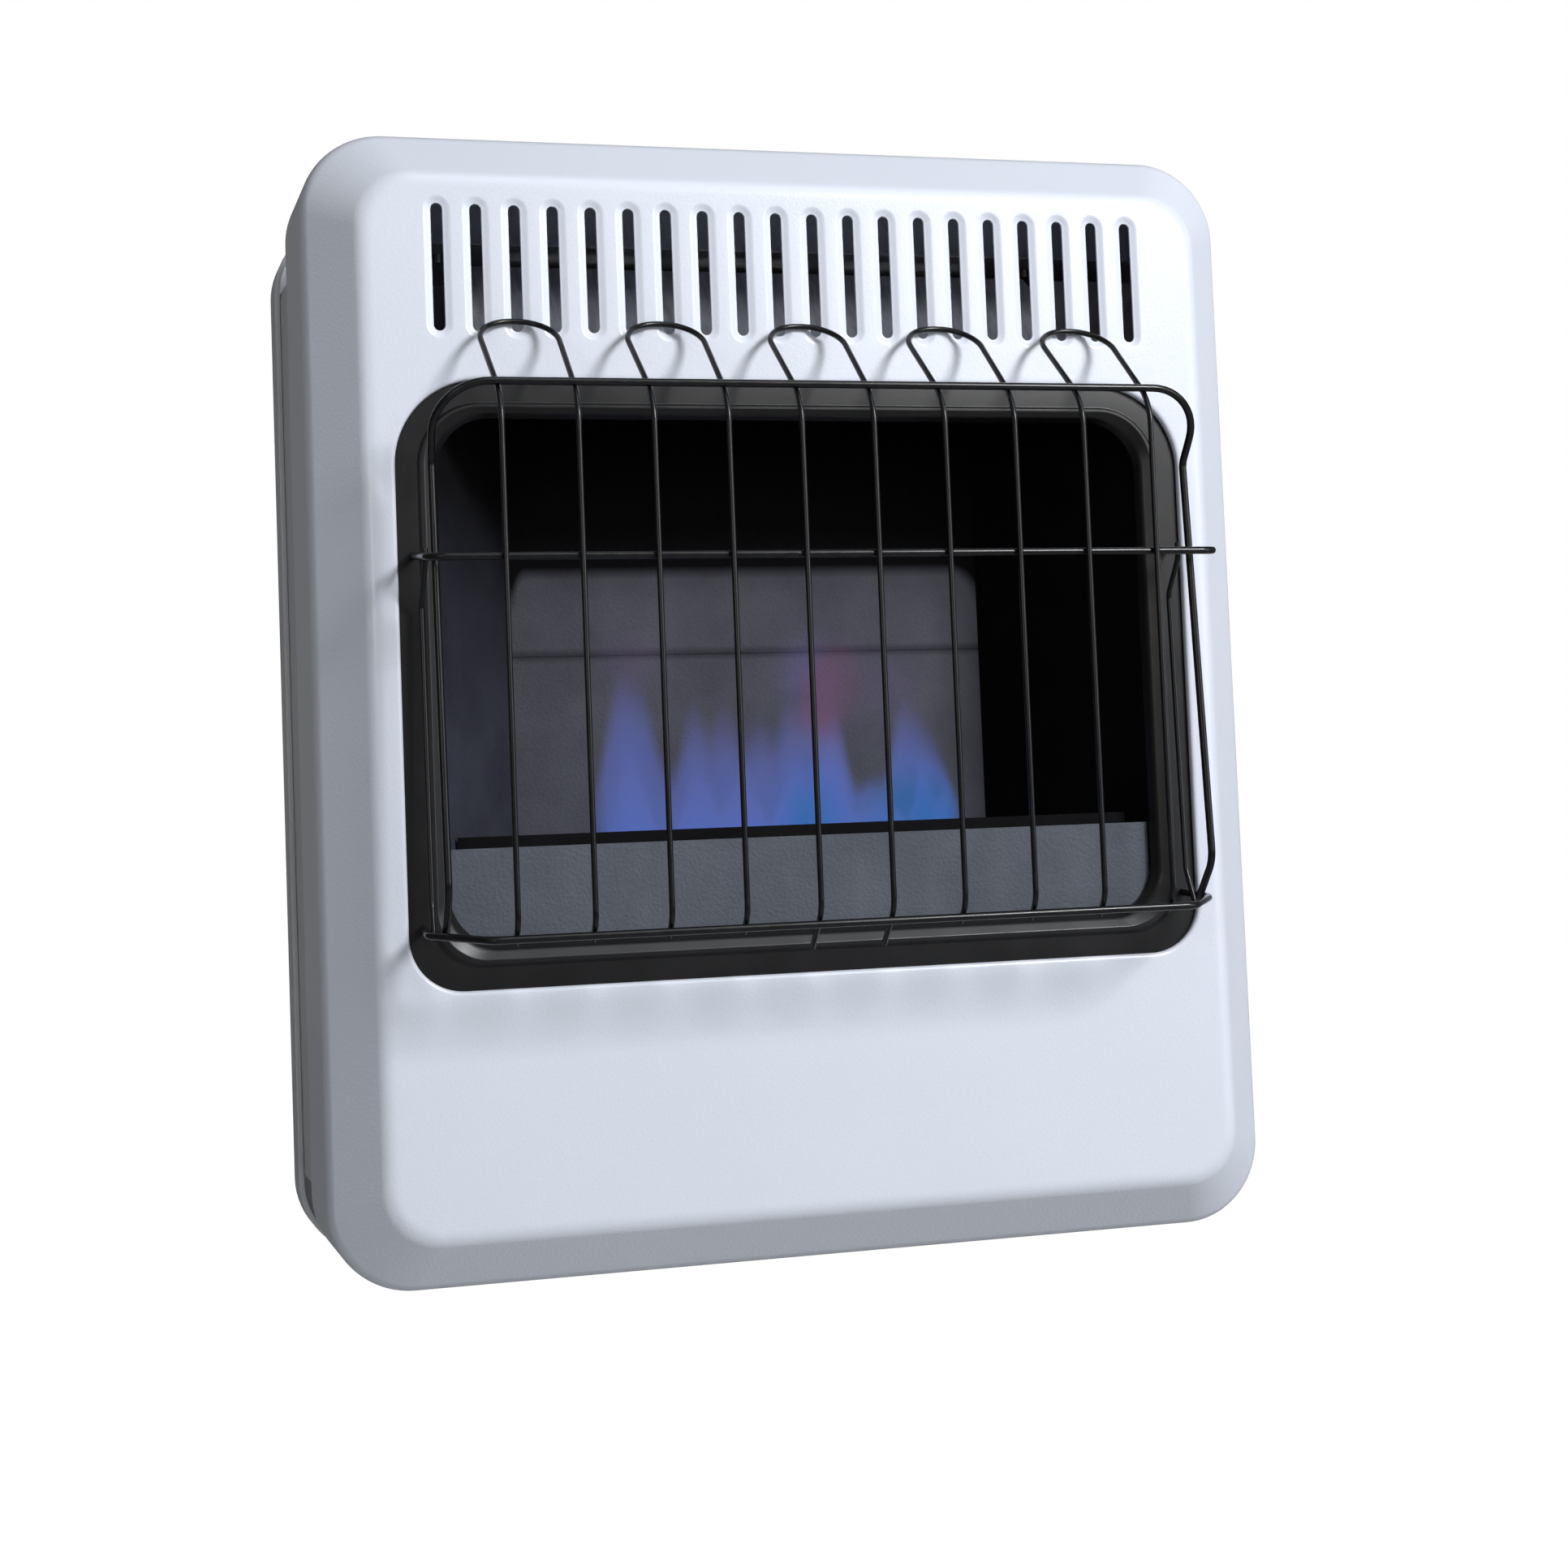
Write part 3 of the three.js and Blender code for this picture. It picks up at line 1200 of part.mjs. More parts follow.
// Dial plate laid on the top panel round the knob and the igniter
function dialPlate() {
  const lowX = igniterX - dialMargin;
  const highX = controlX + dialMargin;
  const lowZ = casingTopZ + runningGap;
  const plate = block([lowX, controlY - dialDepth / 2, lowZ], [highX, controlY + dialDepth / 2, lowZ + dialThickness]);
  return cutBy(plate, [
    upright(controlX, controlY, casingTopZ - cutOverrun, casingTopZ + cutOverrun, camRadius + fitGap),
    upright(igniterX, controlY, casingTopZ - cutOverrun, casingTopZ + cutOverrun, igniterBodyRadius + fitGap),
  ]);
}

// Regulator over the inlet at the casing's lower right
const regulatorLowZ = casingBottomZ + sheet + regulatorRise;
const regulatorX = portNamed('supply').x;

function regulatorBody() {
  const z = regulatorLowZ + regulatorBlockHeight / 2;
  const frontY = controlY - regulatorBlockDepth / 2;
  const blockBody = block(
    [regulatorX - regulatorBlockWidth / 2, frontY, regulatorLowZ],
    [regulatorX + regulatorBlockWidth / 2, controlY + regulatorBlockDepth / 2, regulatorLowZ + regulatorBlockHeight]);
  const drum = bar([regulatorX, frontY + sheet, z], [regulatorX, frontY - regulatorThickness, z], regulatorRadius);
  return joined([blockBody, drum]);
}

function regulatorCap() {
  const z = regulatorLowZ + regulatorBlockHeight / 2;
  const startY = controlY - regulatorBlockDepth / 2 - regulatorThickness - runningGap;
  return bar([regulatorX, startY, z], [regulatorX, startY - regulatorCapLength, z], regulatorCapRadius);
}

function inletFitting() {
  const nutZ = regulatorLowZ - fitGap - inletNutHeight;
  return joined([
    upright(regulatorX, controlY, nutZ, regulatorLowZ - fitGap, inletNutRadius, 6),
    upright(regulatorX, controlY, casingBottomZ - inletLength, nutZ + sheet, inletRadius),
  ]);
}

// Tubes and leads of the gas train
function supplyTube() {
  const lowZ = regulatorLowZ + regulatorBlockHeight + fitGap;
  const highZ = valveBaseZ - valvePortLength - fitGap;
  return upright(regulatorX, controlY, lowZ, highZ, supplyTubeRadius);
}

function burnerGasTube() {
  const port = portNamed('burner');
  const endX = injectorX + injectorNozzleLength + injectorLength / 2;
  const endZ = burnerZ + injectorBodyDiameter / 2 + fitGap;
  return bentWire([
    [port.x, port.y, valveBaseZ - valvePortLength - fitGap],
    [port.x, port.y, burnerZ + burnerTubeUpperRise],
    [endX, burnerY, burnerZ + burnerTubeLowerRise],
    [endX, burnerY, endZ],
  ], burnerTubeRadius);
}

// Lead that drops behind the chamber, turns forward in its own lane and enters below the pilot
function leadToPilot(start, endX, lane, radius) {
  const endZ = pilotPlateZ + pilotRise - pilotLength - fitGap;
  const laneZ = endZ - leadSpacing * lane;
  const laneX = casingHalf - leadLaneInset + leadSpacing * (lane - 1);
  const turnZ = burnerZ + leadTurnRise + leadDropStep * start.turnStep;
  return bentWire([
    [start.x, start.y, start.z],
    [start.x, start.y, burnerZ + leadDropRise + leadDropStep * start.dropStep],
    [laneX, leadTurnY, turnZ],
    [laneX, pilotY, laneZ],
    [endX, pilotY, laneZ],
    [endX, pilotY, endZ],
  ], radius, leadSpacing);
}

function capillary() {
  const port = portNamed('capillary');
  const bulbZ = casingBottomZ + sheet + bulbRise;
  return bentWire([
    [port.x, port.y, valveBaseZ - valvePortLength - fitGap],
    [port.x, port.y, bulbZ + 2 * tubeBend],
    [port.x - tubeBend, -bulbSetback, bulbZ],
    [port.x - 2 * tubeBend - bulbRadius, -bulbSetback, bulbZ],
  ], capillaryRadius);
}

function thermostatBulb() {
  const z = casingBottomZ + sheet + bulbRise;
  const startX = portNamed('capillary').x - 2 * tubeBend - bulbRadius - fitGap;
  return bar([startX, -bulbSetback, z], [startX - bulbLength, -bulbSetback, z], bulbRadius);
}

function bulbClip() {
  const z = casingBottomZ + sheet + bulbRise;
  const middleX = portNamed('capillary').x - 2 * tubeBend - bulbRadius - fitGap - bulbLength / 2;
  const half = saddleWidth / 2;
  const reach = bulbRadius + fitGap + sheet;
  const lowZ = casingBottomZ + sheet + fitGap;
  const foot = block([middleX - half, -bulbSetback - reach - half, lowZ], [middleX + half, -bulbSetback + reach, lowZ + sheet]);
  const post = block([middleX - half, -bulbSetback - reach, lowZ], [middleX + half, -bulbSetback + reach, z]);
  const bore = bar([middleX - half - cutOverrun, -bulbSetback, z], [middleX + half + cutOverrun, -bulbSetback, z],
    bulbRadius + fitGap);
  const hollow = block([middleX - half - cutOverrun, -bulbSetback - reach + sheet, lowZ + sheet],
    [middleX + half + cutOverrun, -bulbSetback + reach - sheet, z - bulbRadius - fitGap]);
  return cutBy(joined([foot, post]), [bore, hollow]);
}

// Wire guard: five hairpins, a frame, two rails and two side wires
function uprightX(index) {
  return (index - (uprightCount - 1) / 2) * uprightPitch;
}

// Hairpin whose bend leans on the cover; the middle one's feet rest further down
function hairpin(number) {
  const leftX = uprightX(2 * number);
  const rightX = uprightX(2 * number + 1);
  const isMiddle = number === Math.floor(uprightCount / 4);
  const footDrop = isMiddle ? restingLegDrop : legPastRail;
  const footZ = bottomRailZ - footDrop;
  const footY = guardY + (legBendZ - footZ);
  const leg = (x, way) => [
    [x, footY, footZ],
    [x, guardY, legBendZ, footBend],
    [x, guardY, leanZ, leanBend],
    [x + way * hairpinFlare, apexY, apexZ],
  ];
  return bentWire([...leg(leftX, -1), ...leg(rightX, 1).reverse()], uprightDiameter / 2, uprightPitch / 2);
}

// Point between two corners of a wire, at a distance in front of the face
function pointBetween([startX, startY, startZ], [endX, endY, endZ], standOff) {
  const share = (faceY - standOff - startY) / (endY - startY);
  return { x: startX + (endX - startX) * share, z: startZ + (endZ - startZ) * share };
}

// Corners of the rails from their straight runs to the hooks in the trim
const midRailCorners = [[midRailHalfWidth, midRailY, midRailZ, railTurn], [hookX, hookEndY, upperHookZ]];
const bottomRailCorners = [
  [bottomRailHalfWidth, bottomRailY, bottomRailZ, railTurn],
  [returnX, faceY - returnStandOff, bottomRailZ + returnRise, railTurn],
  [hookX, hookEndY, lowerHookZ],
];

function hookedRail(corners) {
  const side = (way) => corners.map(([x, y, z, bend]) => [way * x, y, z, bend]);
  return bentWire([...side(-1).reverse(), ...side(1)], railDiameter / 2);
}

// Frame: over the top, down both sides and in to the bottom rail's returns
function guardFrame() {
  const shoulder = [frameHalfWidth, faceY - frameShoulderStandOff, windowHighZ - frameShoulderDrop];
  const corner = [frameHalfWidth + guardCornerFlare, frameWireY, guardTopZ];
  const cornerCut = guardCorner * (1 - Math.tan(Math.PI / 8));
  const fall = cornerCut / Math.hypot(...shoulder.map((value, axis) => value - corner[axis]));
  const belowCorner = corner.map((value, axis) => value + (shoulder[axis] - value) * fall);
  const [railEnd, nose] = bottomRailCorners;
  const foot = pointBetween(railEnd, nose, frameFootStandOff);
  const slant = Math.hypot(nose[0] - railEnd[0], nose[1] - railEnd[1]) / (nose[1] - railEnd[1]);
  const footX = foot.x - (railDiameter + frameFootGap) * slant;
  const side = (way) => [
    [way * footX, faceY - frameFootStandOff, foot.z],
    [way * frameHalfWidth, faceY - frameKneeStandOff, bottomRailZ + frameKneeRise, footBend],
    [way * shoulder[0], shoulder[1], shoulder[2], wireBend],
    [way * belowCorner[0], belowCorner[1], belowCorner[2]],
    [way * (corner[0] - cornerCut), corner[1], corner[2]],
  ];
  return bentWire([...side(-1), ...side(1).reverse()], railDiameter / 2, guardCorner);
}

function sideWire(side) {
  const top = pointBetween(...midRailCorners, sideWireTopStandOff);
  const foot = pointBetween(...bottomRailCorners.slice(1), sideWireFootStandOff);
  const topY = faceY - sideWireTopStandOff;
  return bentWire([
    [side * (top.x - wireReach), topY, top.z + sideWireEnd],
    [side * (top.x - wireReach), topY, top.z - sideWireEnd],
    [side * sideWireX, faceY - sideWireStandOff, midRailZ - sideWireTopDrop],
    [side * sideWireX, faceY - sideWireLowStandOff, windowLowZ + sideWireLowRise],
    [side * (foot.x - wireReach), faceY - sideWireFootStandOff, foot.z - sideWireEnd],
  ], uprightDiameter / 2, wireBend);
}

// The pieces, from the wall towards the room
addPiece('wall_bracket', 'zinc', wallBracket());
addPiece('back_panel', 'casing', backPanel());
addPiece('casing_side_left', 'casing', sidePanel(-1));
addPiece('casing_side_right', 'casing', sidePanel(1));
addPiece('casing_top', 'casing', casingTop());
addPiece('casing_bottom', 'casing', casingBottom());
addPiece('front_cover', 'white', frontCover());
for (const place of screwPlaces()) addPiece(place.name, 'zinc', coverScrew(place));

addPiece('firebox_trim', 'black', fireboxTrim());
addPiece('chamber_shelf', 'soot', chamberShelf());
addPiece('chamber_side_left', 'soot', chamberSide(-1));
addPiece('chamber_side_right', 'soot', chamberSideRight());
addPiece('chamber_back_lower', 'board', chamberBackLower());
addPiece('chamber_back_upper', 'board', chamberBackUpper());
addPiece('firebox_roof', 'soot', fireboxRoof());
addPiece('front_baffle', 'board', frontBaffle());
addPiece('burner_cover', 'soot', burnerCover());

addPiece('burner_tube', 'aluminium', burnerTube());
addPiece('mixer_tube', 'zinc', mixerTube());
addPiece('burner_saddle_left', 'zinc', burnerSaddle(-saddleX));
addPiece('burner_saddle_right', 'zinc', burnerSaddle(saddleX));
addPiece('injector', 'brass', injector());
addPiece('injector_mount', 'zinc', injectorMount());
addPiece('pilot_plate', 'zinc', pilotPlate());
addPiece('pilot_burner', 'zinc', pilotPiece(pilotX, pilotTubeRadius));
addPiece('spark_electrode', 'ceramic', pilotPiece(pilotX - pilotPieceSpacing, electrodeRadius));
addPiece('thermocouple', 'zinc', pilotPiece(pilotX + pilotPieceSpacing, thermocoupleRadius));

addPiece('valve_bracket', 'zinc', valveBracket());
addPiece('gas_valve', 'aluminium', gasValve());
addPiece('valve_cam', 'brass', valveCam());
addPiece('control_spindle', 'zinc', controlSpindle());
addPiece('control_knob', 'plastic', controlKnob());
addPiece('igniter_body', 'plastic', igniterBody());
addPiece('igniter_nut', 'zinc', igniterNut());
addPiece('igniter_button', 'red', igniterButton());
addPiece('dial_plate', 'aluminium', dialPlate());

addPiece('regulator_body', 'aluminium', regulatorBody());
addPiece('regulator_cap', 'plastic', regulatorCap());
addPiece('inlet_fitting', 'brass', inletFitting());
addPiece('supply_tube', 'aluminium', supplyTube());
addPiece('burner_gas_tube', 'aluminium', burnerGasTube());
const underPortZ = valveBaseZ - valvePortLength - fitGap;
const pilotPort = { ...portNamed('pilot'), z: underPortZ, dropStep: -1, turnStep: -1 };
const thermocouplePort = { ...portNamed('thermocouple'), z: underPortZ, dropStep: 0, turnStep: 0 };
const igniterEnd = { x: igniterX, y: controlY, z: casingTopZ - igniterBodyLength - fitGap, dropStep: 1, turnStep: 1 };
addPiece('thermocouple_lead', 'zinc', leadToPilot(thermocouplePort, pilotX + pilotPieceSpacing, 1, leadRadius));
addPiece('pilot_tube', 'aluminium', leadToPilot(pilotPort, pilotX, 2, pilotPipeRadius));
addPiece('ignition_lead', 'rubber', leadToPilot(igniterEnd, pilotX - pilotPieceSpacing, 3, leadRadius));
addPiece('thermostat_capillary', 'zinc', capillary());
addPiece('thermostat_bulb', 'zinc', thermostatBulb());
addPiece('bulb_clip', 'zinc', bulbClip());

for (let number = 0; number < uprightCount / 2; number += 1) {
  addPiece(`guard_hairpin_${number + 1}`, 'black', hairpin(number));
}
addPiece('guard_frame', 'black', guardFrame());
addPiece('guard_mid_rail', 'black', hookedRail(midRailCorners));
addPiece('guard_bottom_rail', 'black', hookedRail(bottomRailCorners));
addPiece('guard_side_wire_left', 'black', sideWire(-1));
addPiece('guard_side_wire_right', 'black', sideWire(1));

export default heater;
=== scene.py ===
import bpy
import bmesh
import math
from mathutils import Matrix, Vector


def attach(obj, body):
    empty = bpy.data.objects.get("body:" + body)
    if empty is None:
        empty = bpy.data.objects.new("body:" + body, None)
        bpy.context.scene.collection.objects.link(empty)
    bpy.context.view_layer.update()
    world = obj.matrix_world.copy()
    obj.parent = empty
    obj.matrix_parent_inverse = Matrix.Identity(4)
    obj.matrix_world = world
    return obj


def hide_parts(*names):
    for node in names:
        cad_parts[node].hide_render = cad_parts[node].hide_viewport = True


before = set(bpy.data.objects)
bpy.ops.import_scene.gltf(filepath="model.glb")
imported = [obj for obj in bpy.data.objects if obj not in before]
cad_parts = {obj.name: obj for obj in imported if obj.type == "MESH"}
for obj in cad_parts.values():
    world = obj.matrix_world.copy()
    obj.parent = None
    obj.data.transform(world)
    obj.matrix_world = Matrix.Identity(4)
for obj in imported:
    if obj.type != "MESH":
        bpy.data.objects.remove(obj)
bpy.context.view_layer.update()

MM = 0.001


def show(name, data):
    """Puts the data into the scene as an object."""
    thing = bpy.data.objects.new(name, data)
    bpy.context.collection.objects.link(thing)
    return thing


# The camera stands to the left of the heater, a little below its middle, as in the photograph.

CAMERA_PLACE = Vector((-407.1, -1494.6, -69.5))
CAMERA_TURN = (("Z", -0.2866), ("X", 0.0607), ("Y", 0.0391))


def set_camera():
    data = bpy.data.cameras.new("camera")
    data.sensor_width = 36.0
    data.lens = 59.16
    data.shift_x = 0.00818
    data.shift_y = -0.07355
    data.clip_end = 60.0
    turn = Matrix.Identity(3)
    for axis, angle in CAMERA_TURN:
        turn = turn @ Matrix.Rotation(angle, 3, axis)
    right, ahead, up = (Vector(turn.col[index]) for index in range(3))
    basis = Matrix((right, up, -ahead)).transposed()
    camera = show("camera", data)
    camera.matrix_world = Matrix.Translation(CAMERA_PLACE * MM) @ basis.to_4x4()
    bpy.context.scene.camera = camera


set_camera()
bpy.context.scene.view_settings.view_transform = "Standard"


# Sizes of the heater, in millimetres, as in the part's source.

FACE_Y = -190.0
COVER_REAR_Y = -90.0
HALF_WIDTH = 260.0
HALF_HEIGHT = 300.0
COVER_CORNER = 44.0
FACE_CORNER = 28.0
BEVEL_RUN = 28.0
BEVEL_RISE = 27.5
SHEET = 1.0
FIT_GAP = 0.3
WINDOW_HALF = 218.0
WINDOW_LOW = -147.5
WINDOW_HIGH = 166.0
WINDOW_LOW_RADIUS = 28.0
WINDOW_HIGH_RADIUS = 45.0
LIP_DEPTH = 3.7
SLOT_COUNT = 20
SLOT_PITCH = 20.3
SLOT_LOW = 191.2
SLOT_HIGH = 257.8
CASING_HALF = 256.8
CASING_TOP = 256.0
CASING_BOTTOM = -255.0
CASING_FRONT_Y = -110.0
PAN_TOP = 285.4
PAN_CORNER = 42.0
PAN_RETURN = 25.0
TRIM_Y = -186.0
TRIM_SHEET = 0.9
CHAMBER_Y = -176.7
CHAMBER_BACK_Y = -69.7
GUARD_Y = -252.0
UPRIGHT_PITCH = 348.0 / 9
MID_RAIL_Z = 67.8
BOTTOM_RAIL_Z = -120.1
CONTROL_X = 201.8
CONTROL_Y = -50.0
IGNITER_X = 135.8
SPINDLE_HOLE = 6.4
IGNITER_HOLE = 8.3


# Node materials.

def feed(tree, node, terms):
    """Links each named input to its term, or writes the term into it when it is a plain value."""
    for name, term in terms.items():
        if isinstance(term, bpy.types.NodeSocket):
            tree.links.new(term, node.inputs[name])
        else:
            node.inputs[name].default_value = term


def add_node(tree, kind, terms, **settings):
    """Adds a node with its settings and inputs, and gives back its outputs."""
    node = tree.nodes.new(kind)
    for name, setting in settings.items():
        setattr(node, name, setting)
    feed(tree, node, terms)
    return node.outputs


def new_material(name, color, roughness, metallic=0.0, specular=0.5):
    material = bpy.data.materials.new(name)
    material.use_nodes = True
    tree = material.node_tree
    shader = tree.nodes["Principled BSDF"]
    feed(tree, shader, {"Base Color": (*color, 1.0), "Roughness": roughness, "Metallic": metallic,
                        "Specular IOR Level": specular})
    return material, tree, shader


def object_place(tree):
    return tree.nodes.new("ShaderNodeTexCoord").outputs["Object"]


def add_noise(tree, scale, detail=2.0, roughness=0.5, stretch=None):
    place = object_place(tree)
    if stretch is not None:
        place = add_node(tree, "ShaderNodeMapping", {"Scale": stretch, "Vector": place})["Vector"]
    terms = {"Scale": scale, "Detail": detail, "Roughness": roughness, "Vector": place}
    return add_node(tree, "ShaderNodeTexNoise", terms)["Fac"]


def add_cells(tree, scale):
    """Distance to the nearest cell's centre in a pattern of cells."""
    return add_node(tree, "ShaderNodeTexVoronoi", {"Scale": scale, "Vector": object_place(tree)})["Distance"]


def spread(tree, factor, low, high, start=0.35, end=0.65, curve="LINEAR"):
    terms = {"From Min": start, "From Max": end, "To Min": low, "To Max": high, "Value": factor}
    return add_node(tree, "ShaderNodeMapRange", terms, interpolation_type=curve)["Result"]


def fade(tree, factor, start, end, peak=1.0):
    """Eased rise from nothing to a peak."""
    return spread(tree, factor, 0.0, peak, start, end, "SMOOTHSTEP")


def combine(tree, operation, *terms):
    return add_node(tree, "ShaderNodeMath", dict(enumerate(terms)), operation=operation)["Value"]


def blend(tree, factor, first, second):
    terms = {"Factor": factor, "A": first, "B": second}
    return add_node(tree, "ShaderNodeMix", terms, data_type="RGBA")["Result"]


def color_ramp(tree, factor, first, last, *middle):
    """Colours by factor; each stop is a position with its colour."""
    node = tree.nodes.new("ShaderNodeValToRGB")
    elements = node.color_ramp.elements
    for element, (position, color) in zip(elements, (first, last)):
        element.position = position
        element.color = (*color, 1.0)
    for position, color in middle:
        elements.new(position).color = (*color, 1.0)
    tree.links.new(factor, node.inputs["Fac"])
    return node.outputs["Color"]


def vary_color(tree, shader, factor, dark, light, start=0.3, end=0.7):
    feed(tree, shader, {"Base Color": color_ramp(tree, factor, (start, dark), (end, light))})


def add_bump(tree, shader, height, distance, strength, before=None):
    terms = {"Distance": distance, "Strength": strength, "Height": height}
    if before is not None:
        terms["Normal"] = before
    normal = add_node(tree, "ShaderNodeBump", terms)["Normal"]
    feed(tree, shader, {"Normal": normal})
    return normal


def axes(tree, vector):
    return add_node(tree, "ShaderNodeSeparateXYZ", {"Vector": vector})


def white_enamel():
    material, tree, shader = new_material("white_enamel", (0.69, 0.725, 0.81), 0.3, specular=0.36)
    cloud = add_noise(tree, 6.0, 3.0)
    vary_color(tree, shader, cloud, (0.682, 0.717, 0.802), (0.697, 0.732, 0.817))
    sheen = add_noise(tree, 14.0, 4.0)
    feed(tree, shader, {"Roughness": spread(tree, sheen, 0.28, 0.34)})
    wave = add_noise(tree, 7.0, 1.0)
    soft = add_bump(tree, shader, wave, 0.0008, 0.1)
    peel = add_noise(tree, 620.0, 3.0, 0.6)
    add_bump(tree, shader, peel, 0.00022, 0.5, soft)
    feed(tree, shader, {"Coat Weight": 0.14, "Coat Roughness": 0.12})
    return material


def coat(name, color, roughness, tone, dark, light, grain=None, shine=None, **surface):
    """Coat whose colour wanders from dark to light with the tone's noise.

    The grain is a noise with its depth and strength, the shine a noise with its lowest and highest roughness.
    """
    material, tree, shader = new_material(name, color, roughness, **surface)
    vary_color(tree, shader, add_noise(tree, *tone), dark, light)
    if shine:
        noise, low, high = shine
        feed(tree, shader, {"Roughness": spread(tree, add_noise(tree, *noise), low, high)})
    if grain:
        noise, depth, strength = grain
        add_bump(tree, shader, add_noise(tree, *noise), depth, strength)
    return material


def add_grit(tree, shader, scale=520.0, depth=0.0003):
    grain = add_noise(tree, scale * 1.7, 4.0, 0.7)
    add_bump(tree, shader, combine(tree, "ADD", add_cells(tree, scale), grain), depth, 0.8)


def stained(tree, dark, light):
    """Colour of a fire's sheet, blotched by heat."""
    return color_ramp(tree, add_noise(tree, 26.0, 6.0, 0.62), (0.3, dark), (0.7, light))


def textured_grey(name, dark, light, roughness=0.62, specular=0.3):
    material, tree, shader = new_material(name, dark, roughness, specular=specular)
    feed(tree, shader, {"Base Color": stained(tree, dark, light)})
    add_grit(tree, shader)
    return material


# Centre of the painted lit patch on the back wall, and the place and depth of the painted shade along the lap
# joint.
LIT_PATCH_CENTRE_X = 0.003
LAP_JOINT_Z = 0.0305
LAP_JOINT_SHADE = 0.45


def back_wall_painted_shadow():
    """Grey sheet in the light of the fire, with painted shadow: black above the flames and past the lit
    patch, and darker along the lap joint.
    """
    material, tree, shader = new_material("back_wall_painted_shadow", (0.07, 0.071, 0.086), 0.7, specular=0.06)
    bare = stained(tree, (0.066, 0.067, 0.081), (0.088, 0.09, 0.107))
    place = axes(tree, object_place(tree))
    # Painted shadow: black beside and above a lit patch whose rounded corners follow the window's, as if the
    # window's edges shaded the wall.
    centred = combine(tree, "SUBTRACT", place["X"], LIT_PATCH_CENTRE_X)
    right = spread(tree, centred, 0.0, 1.0, 0.122, 0.141)
    left = spread(tree, centred, 0.0, 1.0, -0.132, -0.141)
    beside = combine(tree, "MAXIMUM", right, left)
    above = spread(tree, place["Z"], 0.0, 1.0, 0.062, 0.081)
    corner = add_node(tree, "ShaderNodeCombineXYZ", {"X": beside, "Y": above})["Vector"]
    reach = add_node(tree, "ShaderNodeVectorMath", {0: corner}, operation="LENGTH")["Value"]
    rounded = spread(tree, reach, 0.0, 1.0, 0.6, 0.98)
    upper = combine(tree, "MULTIPLY", rounded, spread(tree, place["Z"], 0.0, 1.0, 0.055, 0.07))
    # Painted contact shadow along the lap joint between the two sheets, partly a heat stain.
    off_joint = combine(tree, "ABSOLUTE", combine(tree, "SUBTRACT", place["Z"], LAP_JOINT_Z))
    joint = spread(tree, off_joint, LAP_JOINT_SHADE, 0.0, 0.001, 0.0042)
    shadowed = blend(tree, combine(tree, "MAXIMUM", upper, joint), bare, (0.0022, 0.0023, 0.003, 1.0))
    feed(tree, shader, {"Base Color": shadowed})
    add_grit(tree, shader)
    return material


def side_wall_painted_shade():
    """Sheet with painted shade that turns it black from the flames' foot up to their tips."""
    material, tree, shader = new_material("chamber_side_grey", (0.03, 0.032, 0.045), 0.7, specular=0.1)
    bare = stained(tree, (0.028, 0.029, 0.041), (0.042, 0.044, 0.062))
    # Painted shade: the upper wall darkens to near black, as the window's top edge keeps the light off it.
    height = spread(tree, axes(tree, object_place(tree))["Z"], 0.0, 1.0, -0.02, 0.12)
    feed(tree, shader, {"Base Color": blend(tree, height, bare, (0.003, 0.003, 0.0036, 1.0))})
    add_grit(tree, shader)
    return material


def soot_black():
    material, tree, shader = new_material("soot_black", (0.004, 0.004, 0.005), 0.8, specular=0.08)
    smoke = add_noise(tree, 18.0, 5.0, 0.6)
    vary_color(tree, shader, smoke, (0.0028, 0.0028, 0.0036), (0.0065, 0.0065, 0.0078))
    add_grit(tree, shader, 600.0, 0.0002)
    return material


def two_sided_roof():
    """Bare sheet on its upward faces, near black on its downward faces."""
    material, tree, shader = new_material("roof_sheet", (0.34, 0.36, 0.42), 0.5, specular=0.4)
    normal = axes(tree, tree.nodes.new("ShaderNodeNewGeometry").outputs["Normal"])
    streak = add_noise(tree, 40.0, 6.0, 0.7, stretch=(6.0, 1.0, 1.0))
    bare = color_ramp(tree, streak, (0.35, (0.24, 0.26, 0.31)), (0.68, (0.42, 0.44, 0.5)))
    upper = spread(tree, normal["Z"], 0.0, 1.0, 0.0, 0.1)
    feed(tree, shader, {"Base Color": blend(tree, upper, (0.014, 0.014, 0.017, 1.0), bare)})
    add_grit(tree, shader, 600.0, 0.0001)
    return material


def zinc_plate():
    material, tree, shader = new_material("zinc_plate", (0.5, 0.5, 0.51), 0.38, metallic=0.9)
    spangle = add_cells(tree, 90.0)
    vary_color(tree, shader, spangle, (0.42, 0.43, 0.45), (0.56, 0.56, 0.57), 0.1, 0.8)
    feed(tree, shader, {"Roughness": spread(tree, spangle, 0.3, 0.46, 0.1, 0.8)})
    return material


def turned_metal(name, dark, light, roughness):
    tone = (50.0, 3.0, 0.5, (1.0, 1.0, 12.0))
    return coat(name, light, roughness, tone, dark, light, ((900.0,), 0.00005, 0.5), metallic=1.0)


def moulded_plastic(name, dark, light, roughness):
    return coat(name, dark, roughness, (120.0, 3.0), dark, light, ((1600.0,), 0.00005, 0.6))


def blue_flame():
    material, tree, shader = new_material("blue_flame", (0.0, 0.0, 0.0), 1.0, specular=0.0)
    veil = add_node(tree, "ShaderNodeAttribute", {}, attribute_name="veil")["Fac"]
    tint = add_node(tree, "ShaderNodeAttribute", {}, attribute_name="tint")["Fac"]
    glow = color_ramp(tree, tint, (0.0, (0.03, 0.16, 0.5)), (1.0, (0.2, 0.085, 0.2)),
                      (0.3, (0.095, 0.165, 0.56)), (0.6, (0.135, 0.15, 0.42)))
    shadow = tree.nodes.new("ShaderNodeLightPath").outputs["Is Shadow Ray"]
    clear = combine(tree, "SUBTRACT", veil, shadow)
    clear.node.use_clamp = True
    feed(tree, shader, {"Emission Color": glow, "Emission Strength": 1.0, "Alpha": clear})
    return material


